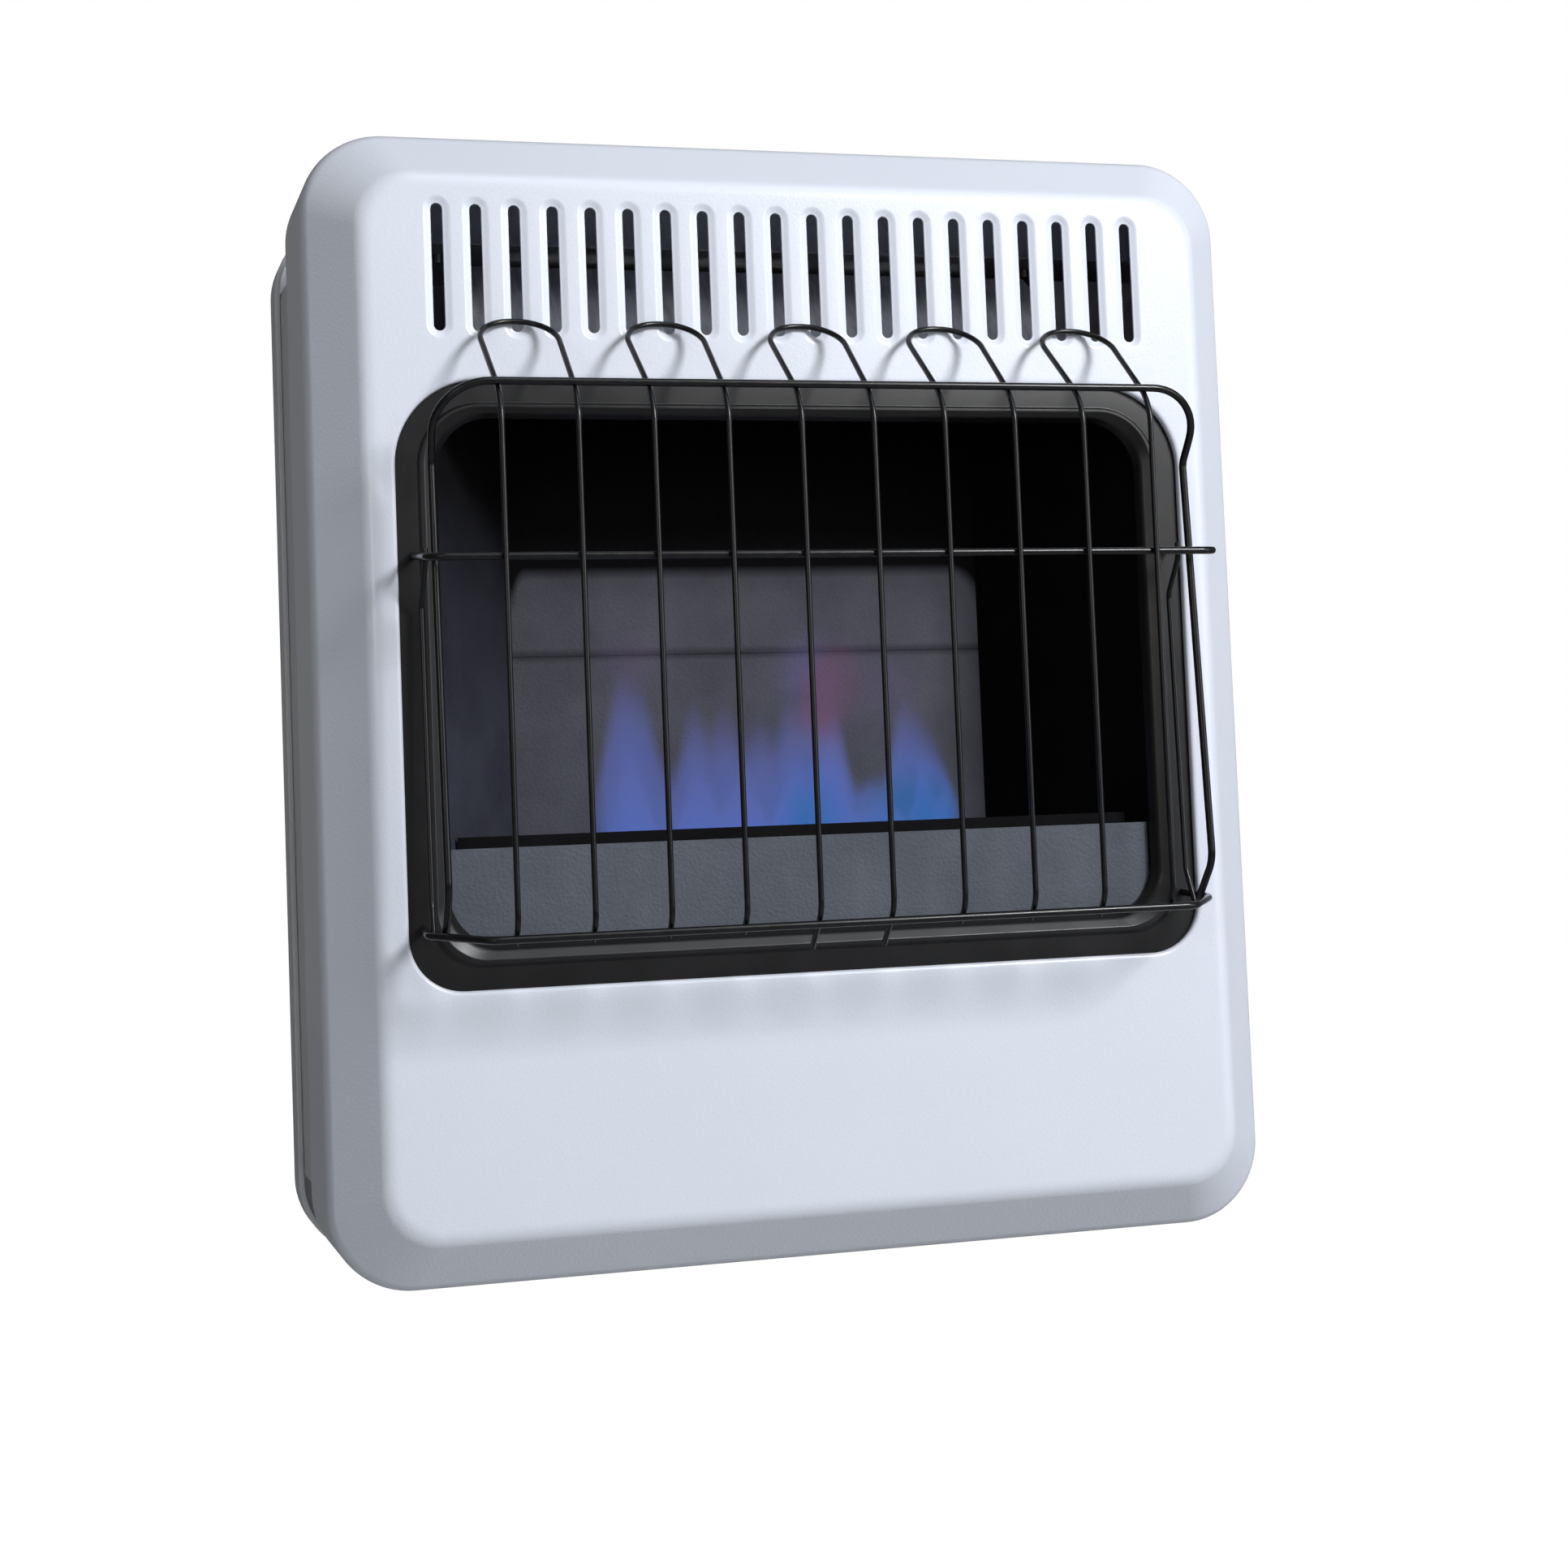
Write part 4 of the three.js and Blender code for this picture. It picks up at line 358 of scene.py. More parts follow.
ENAMEL = white_enamel()
CASING = coat("casing_paint", (0.5, 0.51, 0.53), 0.42, (9.0, 4.0), (0.52, 0.53, 0.55), (0.60, 0.61, 0.63),
              ((700.0,), 0.00012, 0.5), specular=0.45)
BLACK = coat("stoved_black", (0.007, 0.0068, 0.0072), 0.31, (22.0, 4.0), (0.006, 0.0058, 0.0063),
             (0.0085, 0.0083, 0.009), ((900.0, 3.0), 0.0001, 0.3), ((60.0, 5.0, 0.65), 0.29, 0.34),
             specular=0.3)
WIRE = coat("wire_black", (0.005, 0.005, 0.0058), 0.22, (160.0, 4.0), (0.0042, 0.0042, 0.005),
            (0.0075, 0.0075, 0.0088), ((1500.0,), 0.00005, 0.4), ((160.0, 4.0), 0.18, 0.27), specular=0.28)
WALL_GREY = back_wall_painted_shadow()
SIDE_GREY = side_wall_painted_shade()
# Painted shade: a near-black copy of the chamber's side grey for the right wall, which the key light leaves
# in shadow.
SIDE_PAINTED_SHADE = textured_grey("side_grey_painted_shade", (0.002, 0.0021, 0.0027), (0.0045, 0.0047, 0.0058), 0.8, 0.04)
BAFFLE_GREY = textured_grey("baffle_grey", (0.068, 0.076, 0.096), (0.09, 0.1, 0.124))
SOOT = soot_black()
ROOF = two_sided_roof()
ZINC = zinc_plate()
BRASS = turned_metal("turned_brass", (0.42, 0.28, 0.09), (0.6, 0.43, 0.17), 0.32)
CAST = turned_metal("cast_aluminium", (0.4, 0.41, 0.42), (0.56, 0.57, 0.58), 0.5)
TUBE = turned_metal("drawn_aluminium", (0.5, 0.51, 0.52), (0.64, 0.65, 0.66), 0.34)
PLASTIC = moulded_plastic("black_plastic", (0.012, 0.012, 0.012), (0.02, 0.02, 0.02), 0.42)
RED = moulded_plastic("red_plastic", (0.36, 0.02, 0.014), (0.46, 0.035, 0.02), 0.3)
CERAMIC = coat("glazed_ceramic", (0.72, 0.68, 0.6), 0.25, (80.0, 3.0), (0.68, 0.63, 0.54), (0.78, 0.75, 0.68))
SLEEVE = moulded_plastic("silicone_sleeve", (0.02, 0.018, 0.018), (0.035, 0.03, 0.03), 0.55)
INK = coat("printed_ink", (0.012, 0.012, 0.013), 0.5, (300.0,), (0.01, 0.01, 0.011), (0.018, 0.018, 0.019))
FLAME = blue_flame()


# Meshes.

def new_piece(name, points, faces, material, body="cabinet", finish=None, smooth=True):
    mesh = bpy.data.meshes.new(name)
    mesh.from_pydata([Vector(point) * MM for point in points], [], faces)
    mesh.update()
    piece = show(name, mesh)
    mesh.materials.append(material)
    if smooth:
        mesh.shade_smooth()
    piece["body"] = body
    if finish:
        piece["finish"] = finish
    return piece


def finish_piece(piece, *nodes):
    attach(piece, piece["body"])
    if nodes:
        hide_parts(*nodes)
    return piece


def final_mesh(piece):
    graph = bpy.context.evaluated_depsgraph_get()
    return bpy.data.meshes.new_from_object(piece.evaluated_get(graph))


def applied(piece):
    """Turns the piece's modifiers into plain mesh."""
    mesh = final_mesh(piece)
    piece.modifiers.clear()
    piece.data = mesh
    return piece


def weigh_normals(piece):
    weighted = piece.modifiers.new("normals", "WEIGHTED_NORMAL")
    weighted.keep_sharp = True
    weighted.weight = 100
    return piece


def recalculate(piece):
    """Merges the piece's doubles and turns its faces one way."""
    mesh = bmesh.new()
    mesh.from_mesh(piece.data)
    bmesh.ops.remove_doubles(mesh, verts=mesh.verts, dist=1e-6)
    bmesh.ops.recalc_face_normals(mesh, faces=mesh.faces)
    mesh.to_mesh(piece.data)
    mesh.free()
    return piece


def mark_sharp(piece, degrees):
    mesh = bmesh.new()
    mesh.from_mesh(piece.data)
    for edge in mesh.edges:
        sharp = len(edge.link_faces) == 2 and edge.calc_face_angle(0.0) > math.radians(degrees)
        edge.smooth = not sharp
    mesh.to_mesh(piece.data)
    mesh.free()
    return piece


def rounded_rectangle(half_span, low, high, low_radius, high_radius, steps=14):
    corners = (
        (half_span - low_radius, low + low_radius, low_radius, -90),
        (half_span - high_radius, high - high_radius, high_radius, 0),
        (high_radius - half_span, high - high_radius, high_radius, 90),
        (low_radius - half_span, low + low_radius, low_radius, 180),
    )
    outline = []
    for x, z, radius, start in corners:
        for step in range(steps + 1):
            angle = math.radians(start + 90 * step / steps)
            outline.append((x + radius * math.cos(angle), z + radius * math.sin(angle)))
    return outline


def stadium(x, low, high, half_width, steps=9):
    outline = []
    for turn, z in ((0, high - half_width), (1, low + half_width)):
        for step in range(steps + 1):
            angle = math.pi * (turn + step / steps)
            outline.append((x + half_width * math.cos(angle), z + half_width * math.sin(angle)))
    return outline


def filleted(corners, steps=5):
    """Profile through corners (u, v, radius) with each corner rounded by its own radius."""
    profile = [corners[0][:2]]
    for before, corner, after in zip(corners, corners[1:], corners[2:]):
        here = Vector(corner[:2])
        back = Vector(before[:2]) - here
        ahead = Vector(after[:2]) - here
        radius = corner[2] if len(corner) > 2 else 0.0
        if radius <= 0:
            profile.append(tuple(here))
            continue
        angle = back.angle(ahead)
        room_back = 0.49 if len(before) > 2 else 0.95
        room_ahead = 0.49 if len(after) > 2 else 0.95
        reach = min(radius / math.tan(angle / 2), back.length * room_back, ahead.length * room_ahead)
        start = here + back.normalized() * reach
        end = here + ahead.normalized() * reach
        for step in range(steps + 1):
            share = step / steps
            first = start.lerp(here, share)
            second = here.lerp(end, share)
            profile.append(tuple(first.lerp(second, share)))
    profile.append(corners[-1][:2])
    return profile


class SheetMesh:
    """Points and faces of a pressed sheet, gathered ring by ring."""

    def __init__(self):
        self.points = []
        self.faces = []

    def ring(self, outline, y):
        first = len(self.points)
        self.points.extend((x, y, z) for x, z in outline)
        return list(range(first, len(self.points)))

    def join(self, inner, outer):
        count = len(inner)
        for index in range(count):
            after = (index + 1) % count
            self.faces.append((inner[index], outer[index], outer[after], inner[after]))

    def press(self, outline, profile, base_y=0.0):
        """Rings of one outline, drawn in and pushed back along a profile of (inset, depth)."""
        rings = [self.ring(outline(inset), base_y + depth) for inset, depth in profile]
        for first, second in zip(rings, rings[1:]):
            self.join(first, second)
        return rings

    def fill(self, loops, normal=(0, -1, 0)):
        """Fills the flat sheet between an outer loop and the loops inside it."""
        flat = bmesh.new()
        places = {}
        edges = []
        for loop in loops:
            for index in loop:
                places[index] = flat.verts.new(self.points[index])
            for index, after in zip(loop, loop[1:] + loop[:1]):
                edges.append(flat.edges.new((places[index], places[after])))
        names = {vertex: index for index, vertex in places.items()}
        bmesh.ops.triangle_fill(flat, edges=edges, use_beauty=True, normal=normal)
        way = Vector(normal)
        for face in flat.faces:
            corners = [names[vertex] for vertex in face.verts]
            face.normal_update()
            self.faces.append(tuple(corners if face.normal.dot(way) > 0 else reversed(corners)))
        flat.free()


# The pressed front cover.

def cover_outline(inset):
    """Cover's edge, drawn in by an inset; its corners tighten across the bevel."""
    tighten = (COVER_CORNER - FACE_CORNER) / BEVEL_RUN
    radius = COVER_CORNER - tighten * inset if inset < BEVEL_RUN else FACE_CORNER + BEVEL_RUN - inset
    return rounded_rectangle(HALF_WIDTH - inset, inset - HALF_HEIGHT, HALF_HEIGHT - inset, radius, radius, 24)


def window_outline(inset):
    return rounded_rectangle(
        WINDOW_HALF - inset, WINDOW_LOW + inset, WINDOW_HIGH - inset,
        WINDOW_LOW_RADIUS - inset, WINDOW_HIGH_RADIUS - inset, 18)


SLOT_HALF = 3.0
SLOT_CELL = 6.0
SLOT_CELL_STEPS = 7
SLOT_DISH_REACH = 4.4
SLOT_DISH_DEPTH = 1.3
SLOT_DISH_STEPS = 8


def slot_cell(x):
    """Edge of the flat cell round one slot, with a point for each point of the slot's own outline."""
    half = SLOT_PITCH / 2
    outline = []
    for way, end in ((1, SLOT_HIGH), (-1, SLOT_LOW)):
        turn = end - way * SLOT_HALF
        across = [way * half * (1 - 2 * step / SLOT_CELL_STEPS) for step in range(SLOT_CELL_STEPS + 1)]
        outline.append((x + way * half, turn))
        outline.extend((x + place, end + way * SLOT_CELL) for place in across)
        outline.append((x - way * half, turn))
    return outline


def press_slot(sheet, x):
    """Stamped dish round one slot, in a flat cell as wide as the slots' pitch."""
    loops = [sheet.ring(slot_cell(x), FACE_Y)]
    for step in range(SLOT_DISH_STEPS + 1):
        share = step / SLOT_DISH_STEPS
        reach = SLOT_DISH_REACH * (1 - share)
        depth = SLOT_DISH_DEPTH * share * share * (3 - 2 * share)
        edge = stadium(x, SLOT_LOW - reach, SLOT_HIGH + reach, SLOT_HALF + reach)
        loops.append(sheet.ring(edge, FACE_Y + depth))
    for outer, inner in zip(loops, loops[1:]):
        sheet.join(inner, outer)


def slot_x(index):
    return (index - (SLOT_COUNT - 1) / 2) * SLOT_PITCH


def slot_block():
    """Edge of all the slots' cells together."""
    cells = [slot_cell(slot_x(index)) for index in range(SLOT_COUNT)]
    top = []
    bottom = []
    for cell in cells:
        top.extend(reversed(cell[1:9]))
        bottom.extend(cell[11:19])
    block = [cells[0][9], *top, cells[-1][0], cells[-1][19], *reversed(bottom), cells[0][10]]
    return [point for point, after in zip(block, block[1:] + block[:1]) if math.dist(point, after) > 0.01]


def flip_if_needed(piece, way):
    """Turns every face the other way if the largest one looks away from the given direction."""
    largest = max(piece.data.polygons, key=lambda face: face.area)
    if largest.normal.dot(Vector(way)) < 0:
        piece.data.flip_normals()
    return piece


def finish_sheet(piece, way, thickness, node):
    """Gives the pressed surface its thickness, behind the side that looks the given way."""
    flip_if_needed(piece, way)
    wall = piece.modifiers.new("wall", "SOLIDIFY")
    wall.thickness = thickness * MM
    wall.offset = -1.0
    wall.use_even_offset = True
    weigh_normals(piece)
    return finish_piece(applied(piece), node)


def make_front_cover():
    sheet = SheetMesh()
    profile = filleted([
        (BEVEL_RUN + 6.6, 0.0), (BEVEL_RUN, 0.0, 13.0), (0.0, BEVEL_RISE, 13.0),
        (0.0, COVER_REAR_Y - FACE_Y),
    ], 8)
    rings = sheet.press(cover_outline, profile, FACE_Y)
    lip = filleted([(-5.5, 0.0), (-4.0, 0.0), (0.0, 0.0, 2.6), (0.0, LIP_DEPTH)], 6)
    lip_rings = sheet.press(window_outline, lip, FACE_Y)
    for index in range(SLOT_COUNT):
        press_slot(sheet, slot_x(index))
    sheet.fill([rings[0], lip_rings[0], sheet.ring(slot_block(), FACE_Y)])
    cover = new_piece("cover_pressing", sheet.points, sheet.faces, ENAMEL, finish="white_enamel")
    return finish_sheet(recalculate(cover), (0, -1, 0), SHEET, "front_cover")


def plate(name, outlines, low, high, material, finish, bevel=0.25, lying=False):
    """Plate that stands in XZ or lies in XY; the first outline is its edge, the others are holes."""
    sheet = SheetMesh()
    fronts = [sheet.ring(outline, low) for outline in outlines]
    backs = [sheet.ring(outline, high) for outline in outlines]
    sheet.fill(fronts, (0, -1, 0))
    sheet.fill(backs, (0, 1, 0))
    for front, back in zip(fronts, backs):
        sheet.join(front, back)
    piece = recalculate(new_piece(name, sheet.points, sheet.faces, material, finish=finish))
    if lying:
        for vertex in piece.data.vertices:
            vertex.co = vertex.co.xzy
        recalculate(piece)
    return round_edges(piece, bevel)


def round_edges(piece, width, segments=2, degrees=40.0):
    bevel = piece.modifiers.new("edges", "BEVEL")
    bevel.width = width * MM
    bevel.segments = segments
    bevel.limit_method = "ANGLE"
    bevel.angle_limit = math.radians(degrees)
    weigh_normals(piece)
    return applied(piece)


def circle(x, z, radius, steps=20):
    angles = [2 * math.pi * step / steps for step in range(steps)]
    return [(x + radius * math.cos(angle), z + radius * math.sin(angle)) for angle in angles]


RETURN_HALF = 259.4
INLET_NOTCH_HALF = 120.8
INLET_NOTCH_LOW = -274.0


def make_cover_returns():
    """Flanges that close the cover's rear above and below the casing, with the screw tabs."""
    outline = cover_outline(SHEET * 0.6)
    tuck = CASING_TOP + FIT_GAP
    for name, way in (("cover_return_top", 1), ("cover_return_bottom", -1)):
        rim = sorted((point for point in outline if way * point[1] > tuck), key=lambda point: -point[0])
        edge = [(RETURN_HALF, way * tuck), *rim, (-RETURN_HALF, way * tuck)]
        if name == "cover_return_bottom":
            edge += [(-INLET_NOTCH_HALF, -tuck), (-INLET_NOTCH_HALF, INLET_NOTCH_LOW),
                     (INLET_NOTCH_HALF, INLET_NOTCH_LOW), (INLET_NOTCH_HALF, -tuck)]
        finish_piece(plate(name, [edge], COVER_REAR_Y - SHEET, COVER_REAR_Y, ENAMEL, "white_enamel"))


# The casing behind the cover.

CORNER = 18.0
CASING_REAR_Y = -SHEET - FIT_GAP
CASING_FOLD = 14.0


def casing_path(side, steps=8):
    """Side panel's outline in XZ, with its outward direction, from its foot up round the top corner."""
    path = [((side * CASING_HALF, CASING_BOTTOM + SHEET + FIT_GAP), (side, 0.0)),
            ((side * CASING_HALF, CASING_TOP - CORNER), (side, 0.0))]
    for step in range(1, steps + 1):
        angle = math.pi / 2 * step / steps
        way = (side * math.cos(angle), math.sin(angle))
        centre = (side * (CASING_HALF - CORNER), CASING_TOP - CORNER)
        path.append(((centre[0] + CORNER * way[0], centre[1] + CORNER * way[1]), way))
    path.append(((side * (CASING_HALF - CORNER - 3.0), CASING_TOP), (0.0, 1.0)))
    return path


def grid_faces(rows, count):
    """Faces between rows of points, each row with the same count."""
    starts = [row * count + column for row in range(rows - 1) for column in range(count - 1)]
    return [(here, here + 1, here + count + 1, here + count) for here in starts]


def make_casing_side(side, hand):
    profile = filleted([(CASING_FOLD, CASING_FRONT_Y), (0.0, CASING_FRONT_Y, 1.2),
                        (0.0, CASING_REAR_Y, 1.2), (CASING_FOLD, CASING_REAR_Y)], 4)
    path = casing_path(side)
    points = []
    for inset, y in profile:
        for (x, z), (way_x, way_z) in path:
            points.append((x - inset * way_x, y, z - inset * way_z))
    count = len(path)
    faces = grid_faces(len(profile), count)
    piece = new_piece("casing_wrap_" + hand, points, faces, CASING, finish="casing_paint")
    return finish_sheet(piece, (side, 0, 0), SHEET, "casing_side_" + hand)


def make_casing_top():
    half = CASING_HALF - CORNER - 3.2
    edge = [(half, CASING_FRONT_Y), (half, CASING_REAR_Y), (-half, CASING_REAR_Y), (-half, CASING_FRONT_Y)]
    holes = [circle(CONTROL_X, CONTROL_Y, SPINDLE_HOLE), circle(IGNITER_X, CONTROL_Y, IGNITER_HOLE)]
    lid = plate("casing_lid", [edge, *holes], CASING_TOP - SHEET, CASING_TOP, CASING, "casing_paint",
                bevel=0.2, lying=True)
    return finish_piece(lid, "casing_top")


DISH_HALF = 192.0
DISH_LOW = 161.0
DISH_HIGH = 219.0
DISH_CORNER = 9.0
DISH_DEPTH = 5.0
WALL_HOLE_X = 160.0
WALL_HOLE_Z = -200.0
HOOK_SLOT_X = 120.0
HOOK_SLOT_HALF = 15.3
HOOK_SLOT_LOW = 193.5
HOOK_SLOT_HIGH = 207.3


def hook_slot(x):
    right = x + HOOK_SLOT_HALF
    left = x - HOOK_SLOT_HALF
    return [(right, HOOK_SLOT_LOW), (right, HOOK_SLOT_HIGH), (left, HOOK_SLOT_HIGH), (left, HOOK_SLOT_LOW)]


def pan_outline(inset):
    radius = PAN_CORNER - inset
    return rounded_rectangle(HALF_WIDTH - inset, inset - HALF_HEIGHT, PAN_TOP - inset, radius, radius, 16)


def dish_outline(inset):
    radius = max(DISH_CORNER - inset, 1.0)
    return rounded_rectangle(DISH_HALF - inset, DISH_LOW + inset, DISH_HIGH - inset, radius, radius, 8)


def make_back_panel():
    """Shallow pan against the wall, with a dish for the wall bracket."""
    sheet = SheetMesh()
    rim = filleted([(2.9, -PAN_RETURN), (0.0, -PAN_RETURN, 0.7), (0.0, -3.0), (0.0, 0.0, 1.6),
                    (3.5, 0.0), (9.0, 0.0)], 5)
    outer = sheet.press(pan_outline, rim)[-1]
    dish = filleted([(-3.0, 0.0), (0.0, 0.0, 2.0), (2.2, -DISH_DEPTH, 2.0), (5.5, -DISH_DEPTH)], 4)
    loops = sheet.press(dish_outline, dish)
    wall_holes = [sheet.ring(circle(side * WALL_HOLE_X, WALL_HOLE_Z, 3.5), 0.0) for side in (-1, 1)]
    slots = [sheet.ring(hook_slot(side * HOOK_SLOT_X), -DISH_DEPTH) for side in (-1, 1)]
    sheet.fill([outer, loops[0], *wall_holes], (0, 1, 0))
    sheet.fill([loops[-1], *slots], (0, 1, 0))
    panel = recalculate(new_piece("rear_pan", sheet.points, sheet.faces, CASING, finish="casing_paint"))
    return finish_sheet(panel, (0, 1, 0), SHEET, "back_panel")


# The black trim round the fire.

TRIM_FLANGE = 12.0
TRIM_BAND = 10.6
TRIM_TOP_BAND = 6.8
TRIM_LOW_RADIUS = 26.0
TRIM_HIGH_RADIUS = 28.0


def trim_outline(inset):
    """Trim's edge, drawn in by an inset; its band is narrower along the top."""
    beyond = max(0.0, inset - TRIM_FLANGE)
    top_inset = inset - beyond * (1 - TRIM_TOP_BAND / TRIM_BAND)
    low_radius = max(WINDOW_LOW_RADIUS - inset, TRIM_LOW_RADIUS)
    high_radius = max(WINDOW_HIGH_RADIUS - inset, TRIM_HIGH_RADIUS)
    return rounded_rectangle(WINDOW_HALF - inset, WINDOW_LOW + inset, WINDOW_HIGH - top_inset,
                             low_radius, high_radius, 16)


def make_trim():
    profile = filleted([
        (-9.0, 0.0), (11.4, 0.0, 0.8), (13.0, -1.55, 0.9), (15.2, -1.55, 1.6),
        (20.2, 1.2, 6.0), (22.6, 5.4, 2.0), (22.6, 9.0),
    ], 6)
    sheet = SheetMesh()
    sheet.press(trim_outline, profile, TRIM_Y)
    trim = new_piece("trim_pressing", sheet.points, sheet.faces, BLACK, finish="black_gloss")
    return finish_sheet(trim, (0, -1, 0), TRIM_SHEET, "firebox_trim")


# The guard: one tree sweeps a round bar along each wire's path.

def rounded_path(corners, radius, arc_degrees=9.0):
    """Straight runs joined by arcs, in millimetres; a corner may carry a radius of its own."""
    places = [Vector(corner[:3]) for corner in corners]
    path = [places[0]]
    for index in range(1, len(places) - 1):
        own = corners[index][3] if len(corners[index]) > 3 else radius
        back = places[index - 1] - places[index]
        ahead = places[index + 1] - places[index]
        turn = math.pi - back.angle(ahead)
        reach = min(own * math.tan(turn / 2), 0.49 * min(back.length, ahead.length))
        real = reach / math.tan(turn / 2)
        start = places[index] + back.normalized() * reach
        arriving = -back.normalized()
        leaving = ahead.normalized()
        inward = (leaving - arriving * leaving.dot(arriving)).normalized()
        steps = max(3, math.ceil(math.degrees(turn) / arc_degrees))
        for step in range(steps + 1):
            angle = turn * step / steps
            path.append(start + arriving * real * math.sin(angle) + inward * real * (1 - math.cos(angle)))
    path.append(places[-1])
    return path


def wire_tree():
    tree = bpy.data.node_groups.new("round_bar_on_path", "GeometryNodeTree")
    sockets = {"Geometry": "Geometry", "Bar radius": "Float", "Sides": "Int", "Finish": "Material"}
    for name, kind in sockets.items():
        tree.interface.new_socket(name, in_out="INPUT", socket_type="NodeSocket" + kind)
    tree.interface.new_socket("Geometry", in_out="OUTPUT", socket_type="NodeSocketGeometry")
    given = tree.nodes.new("NodeGroupInput").outputs
    section = add_node(tree, "GeometryNodeCurvePrimitiveCircle",
                       {"Radius": given["Bar radius"], "Resolution": given["Sides"]})
    sweep = add_node(tree, "GeometryNodeCurveToMesh",
                     {"Curve": given["Geometry"], "Profile Curve": section["Curve"], "Fill Caps": True})
    smooth = add_node(tree, "GeometryNodeSetShadeSmooth", {"Geometry": sweep["Mesh"]})
    real = add_node(tree, "GeometryNodeRealizeInstances", {"Geometry": smooth["Geometry"]})
    paint = add_node(tree, "GeometryNodeSetMaterial",
                     {"Geometry": real["Geometry"], "Material": given["Finish"]})
    add_node(tree, "NodeGroupOutput", {"Geometry": paint["Geometry"]})
    return tree


WIRE_TREE = wire_tree()


WIRE_SIDES = 16


def guard_wire(name, corners, radius, bend, node):
    """Bent wire through corners, each rounded by the bend's radius unless it carries its own."""
    path = rounded_path(corners, bend)
    curve = bpy.data.curves.new(name, "CURVE")
    curve.dimensions = "3D"
    spline = curve.splines.new("POLY")
    spline.points.add(len(path) - 1)
    for point, place in zip(spline.points, path):
        point.co = (*(place * MM), 1.0)
    guide = show(name + "_path", curve)
    sweep = guide.modifiers.new("bar", "NODES")
    sweep.node_group = WIRE_TREE
    values = {"Bar radius": radius * MM, "Sides": WIRE_SIDES, "Finish": WIRE}
    for item in WIRE_TREE.interface.items_tree:
        if item.in_out == "INPUT" and item.name in values:
            sweep[item.identifier] = values[item.name]
    piece = show(name, final_mesh(guide))
    bpy.data.objects.remove(guide)
    bpy.data.curves.remove(curve)
    mark_sharp(piece, 60.0)
    piece["body"] = "cabinet"
    piece["finish"] = "black_wire"
    return finish_piece(piece, node)


THICK_WIRE = 2.0
THIN_WIRE = 1.5
REACH = 3.62
LEG_BEND_Z = WINDOW_LOW + 33.5
BOTTOM_RAIL_Y = GUARD_Y + (LEG_BEND_Z - BOTTOM_RAIL_Z) - REACH * math.sqrt(2)
HOOK_X = 210.0
HOOK_END_Y = TRIM_Y + 4.0
UPPER_HOOK_Z = WINDOW_HIGH - 90.5
LOWER_HOOK_Z = WINDOW_LOW + 33.0
GUARD_TOP_Z = WINDOW_HIGH - 11.0
APEX_Y = FACE_Y - 1.8
APEX_Z = WINDOW_HIGH + 30.0
LEAN_Z = WINDOW_HIGH - 18.9
LEAN_BEND = 28.0
LEAN_START_Z = LEAN_Z - LEAN_BEND * math.tan(math.atan2(APEX_Y - GUARD_Y, APEX_Z - LEAN_Z) / 2)
FRAME_Y = GUARD_Y + LEAN_BEND - math.sqrt((LEAN_BEND + REACH) ** 2 - (GUARD_TOP_Z - LEAN_START_Z) ** 2)
MID_RAIL = [(212.0, GUARD_Y + REACH, MID_RAIL_Z, 10), (HOOK_X, HOOK_END_Y, UPPER_HOOK_Z)]
BOTTOM_RAIL = [(187.0, BOTTOM_RAIL_Y, BOTTOM_RAIL_Z, 10), (212.5, FACE_Y - 25, BOTTOM_RAIL_Z + 2.6, 10),
               (HOOK_X, HOOK_END_Y, LOWER_HOOK_Z)]


def upright_x(index):
    return (index - 4.5) * UPRIGHT_PITCH


def make_hairpin(number):
    past_rail = 12.4 if number == 2 else 2.8
    foot_z = BOTTOM_RAIL_Z - past_rail
    foot_y = GUARD_Y + (LEG_BEND_Z - foot_z)

    def leg(x, way):
        return [(x, foot_y, foot_z), (x, GUARD_Y, LEG_BEND_Z, 16), (x, GUARD_Y, LEAN_Z, LEAN_BEND),
                (x + way * 1.5, APEX_Y, APEX_Z)]

    corners = leg(upright_x(2 * number), -1) + leg(upright_x(2 * number + 1), 1)[::-1]
    guard_wire(f"hairpin_wire_{number + 1}", corners, THIN_WIRE, UPRIGHT_PITCH / 2,
               f"guard_hairpin_{number + 1}")


def between(start, end, stand_off):
    """Point between two corners of a wire, at a distance in front of the face."""
    share = (FACE_Y - stand_off - start[1]) / (end[1] - start[1])
    return start[0] + (end[0] - start[0]) * share, start[2] + (end[2] - start[2]) * share


FRAME_BEND = 30


def make_guard_frame():
    shoulder = Vector((205, FACE_Y - 33.4, WINDOW_HIGH - 48))
    corner = Vector((207.5, FRAME_Y, GUARD_TOP_Z))
    cut = FRAME_BEND * (1 - math.tan(math.pi / 8))
    below = corner.lerp(shoulder, cut / (shoulder - corner).length)
    rail_end, nose = BOTTOM_RAIL[:2]
    foot_x, foot_z = between(rail_end, nose, 29)
    slant = math.hypot(nose[0] - rail_end[0], nose[1] - rail_end[1]) / (nose[1] - rail_end[1])

    def side(way):
        return [(way * (foot_x - 4.4 * slant), FACE_Y - 29, foot_z),
                (way * 205, FACE_Y - 46.4, BOTTOM_RAIL_Z + 23, 16),
                (way * shoulder.x, shoulder.y, shoulder.z, 9), (way * below.x, below.y, below.z),
                (way * (corner.x - cut), corner.y, corner.z)]

    guard_wire("frame_wire", side(-1) + side(1)[::-1], THICK_WIRE, FRAME_BEND, "guard_frame")


def make_hooked_rail(name, corners, node):
    left = [(-corner[0], *corner[1:]) for corner in reversed(corners)]
    guard_wire(name, left + corners, THICK_WIRE, 10, node)


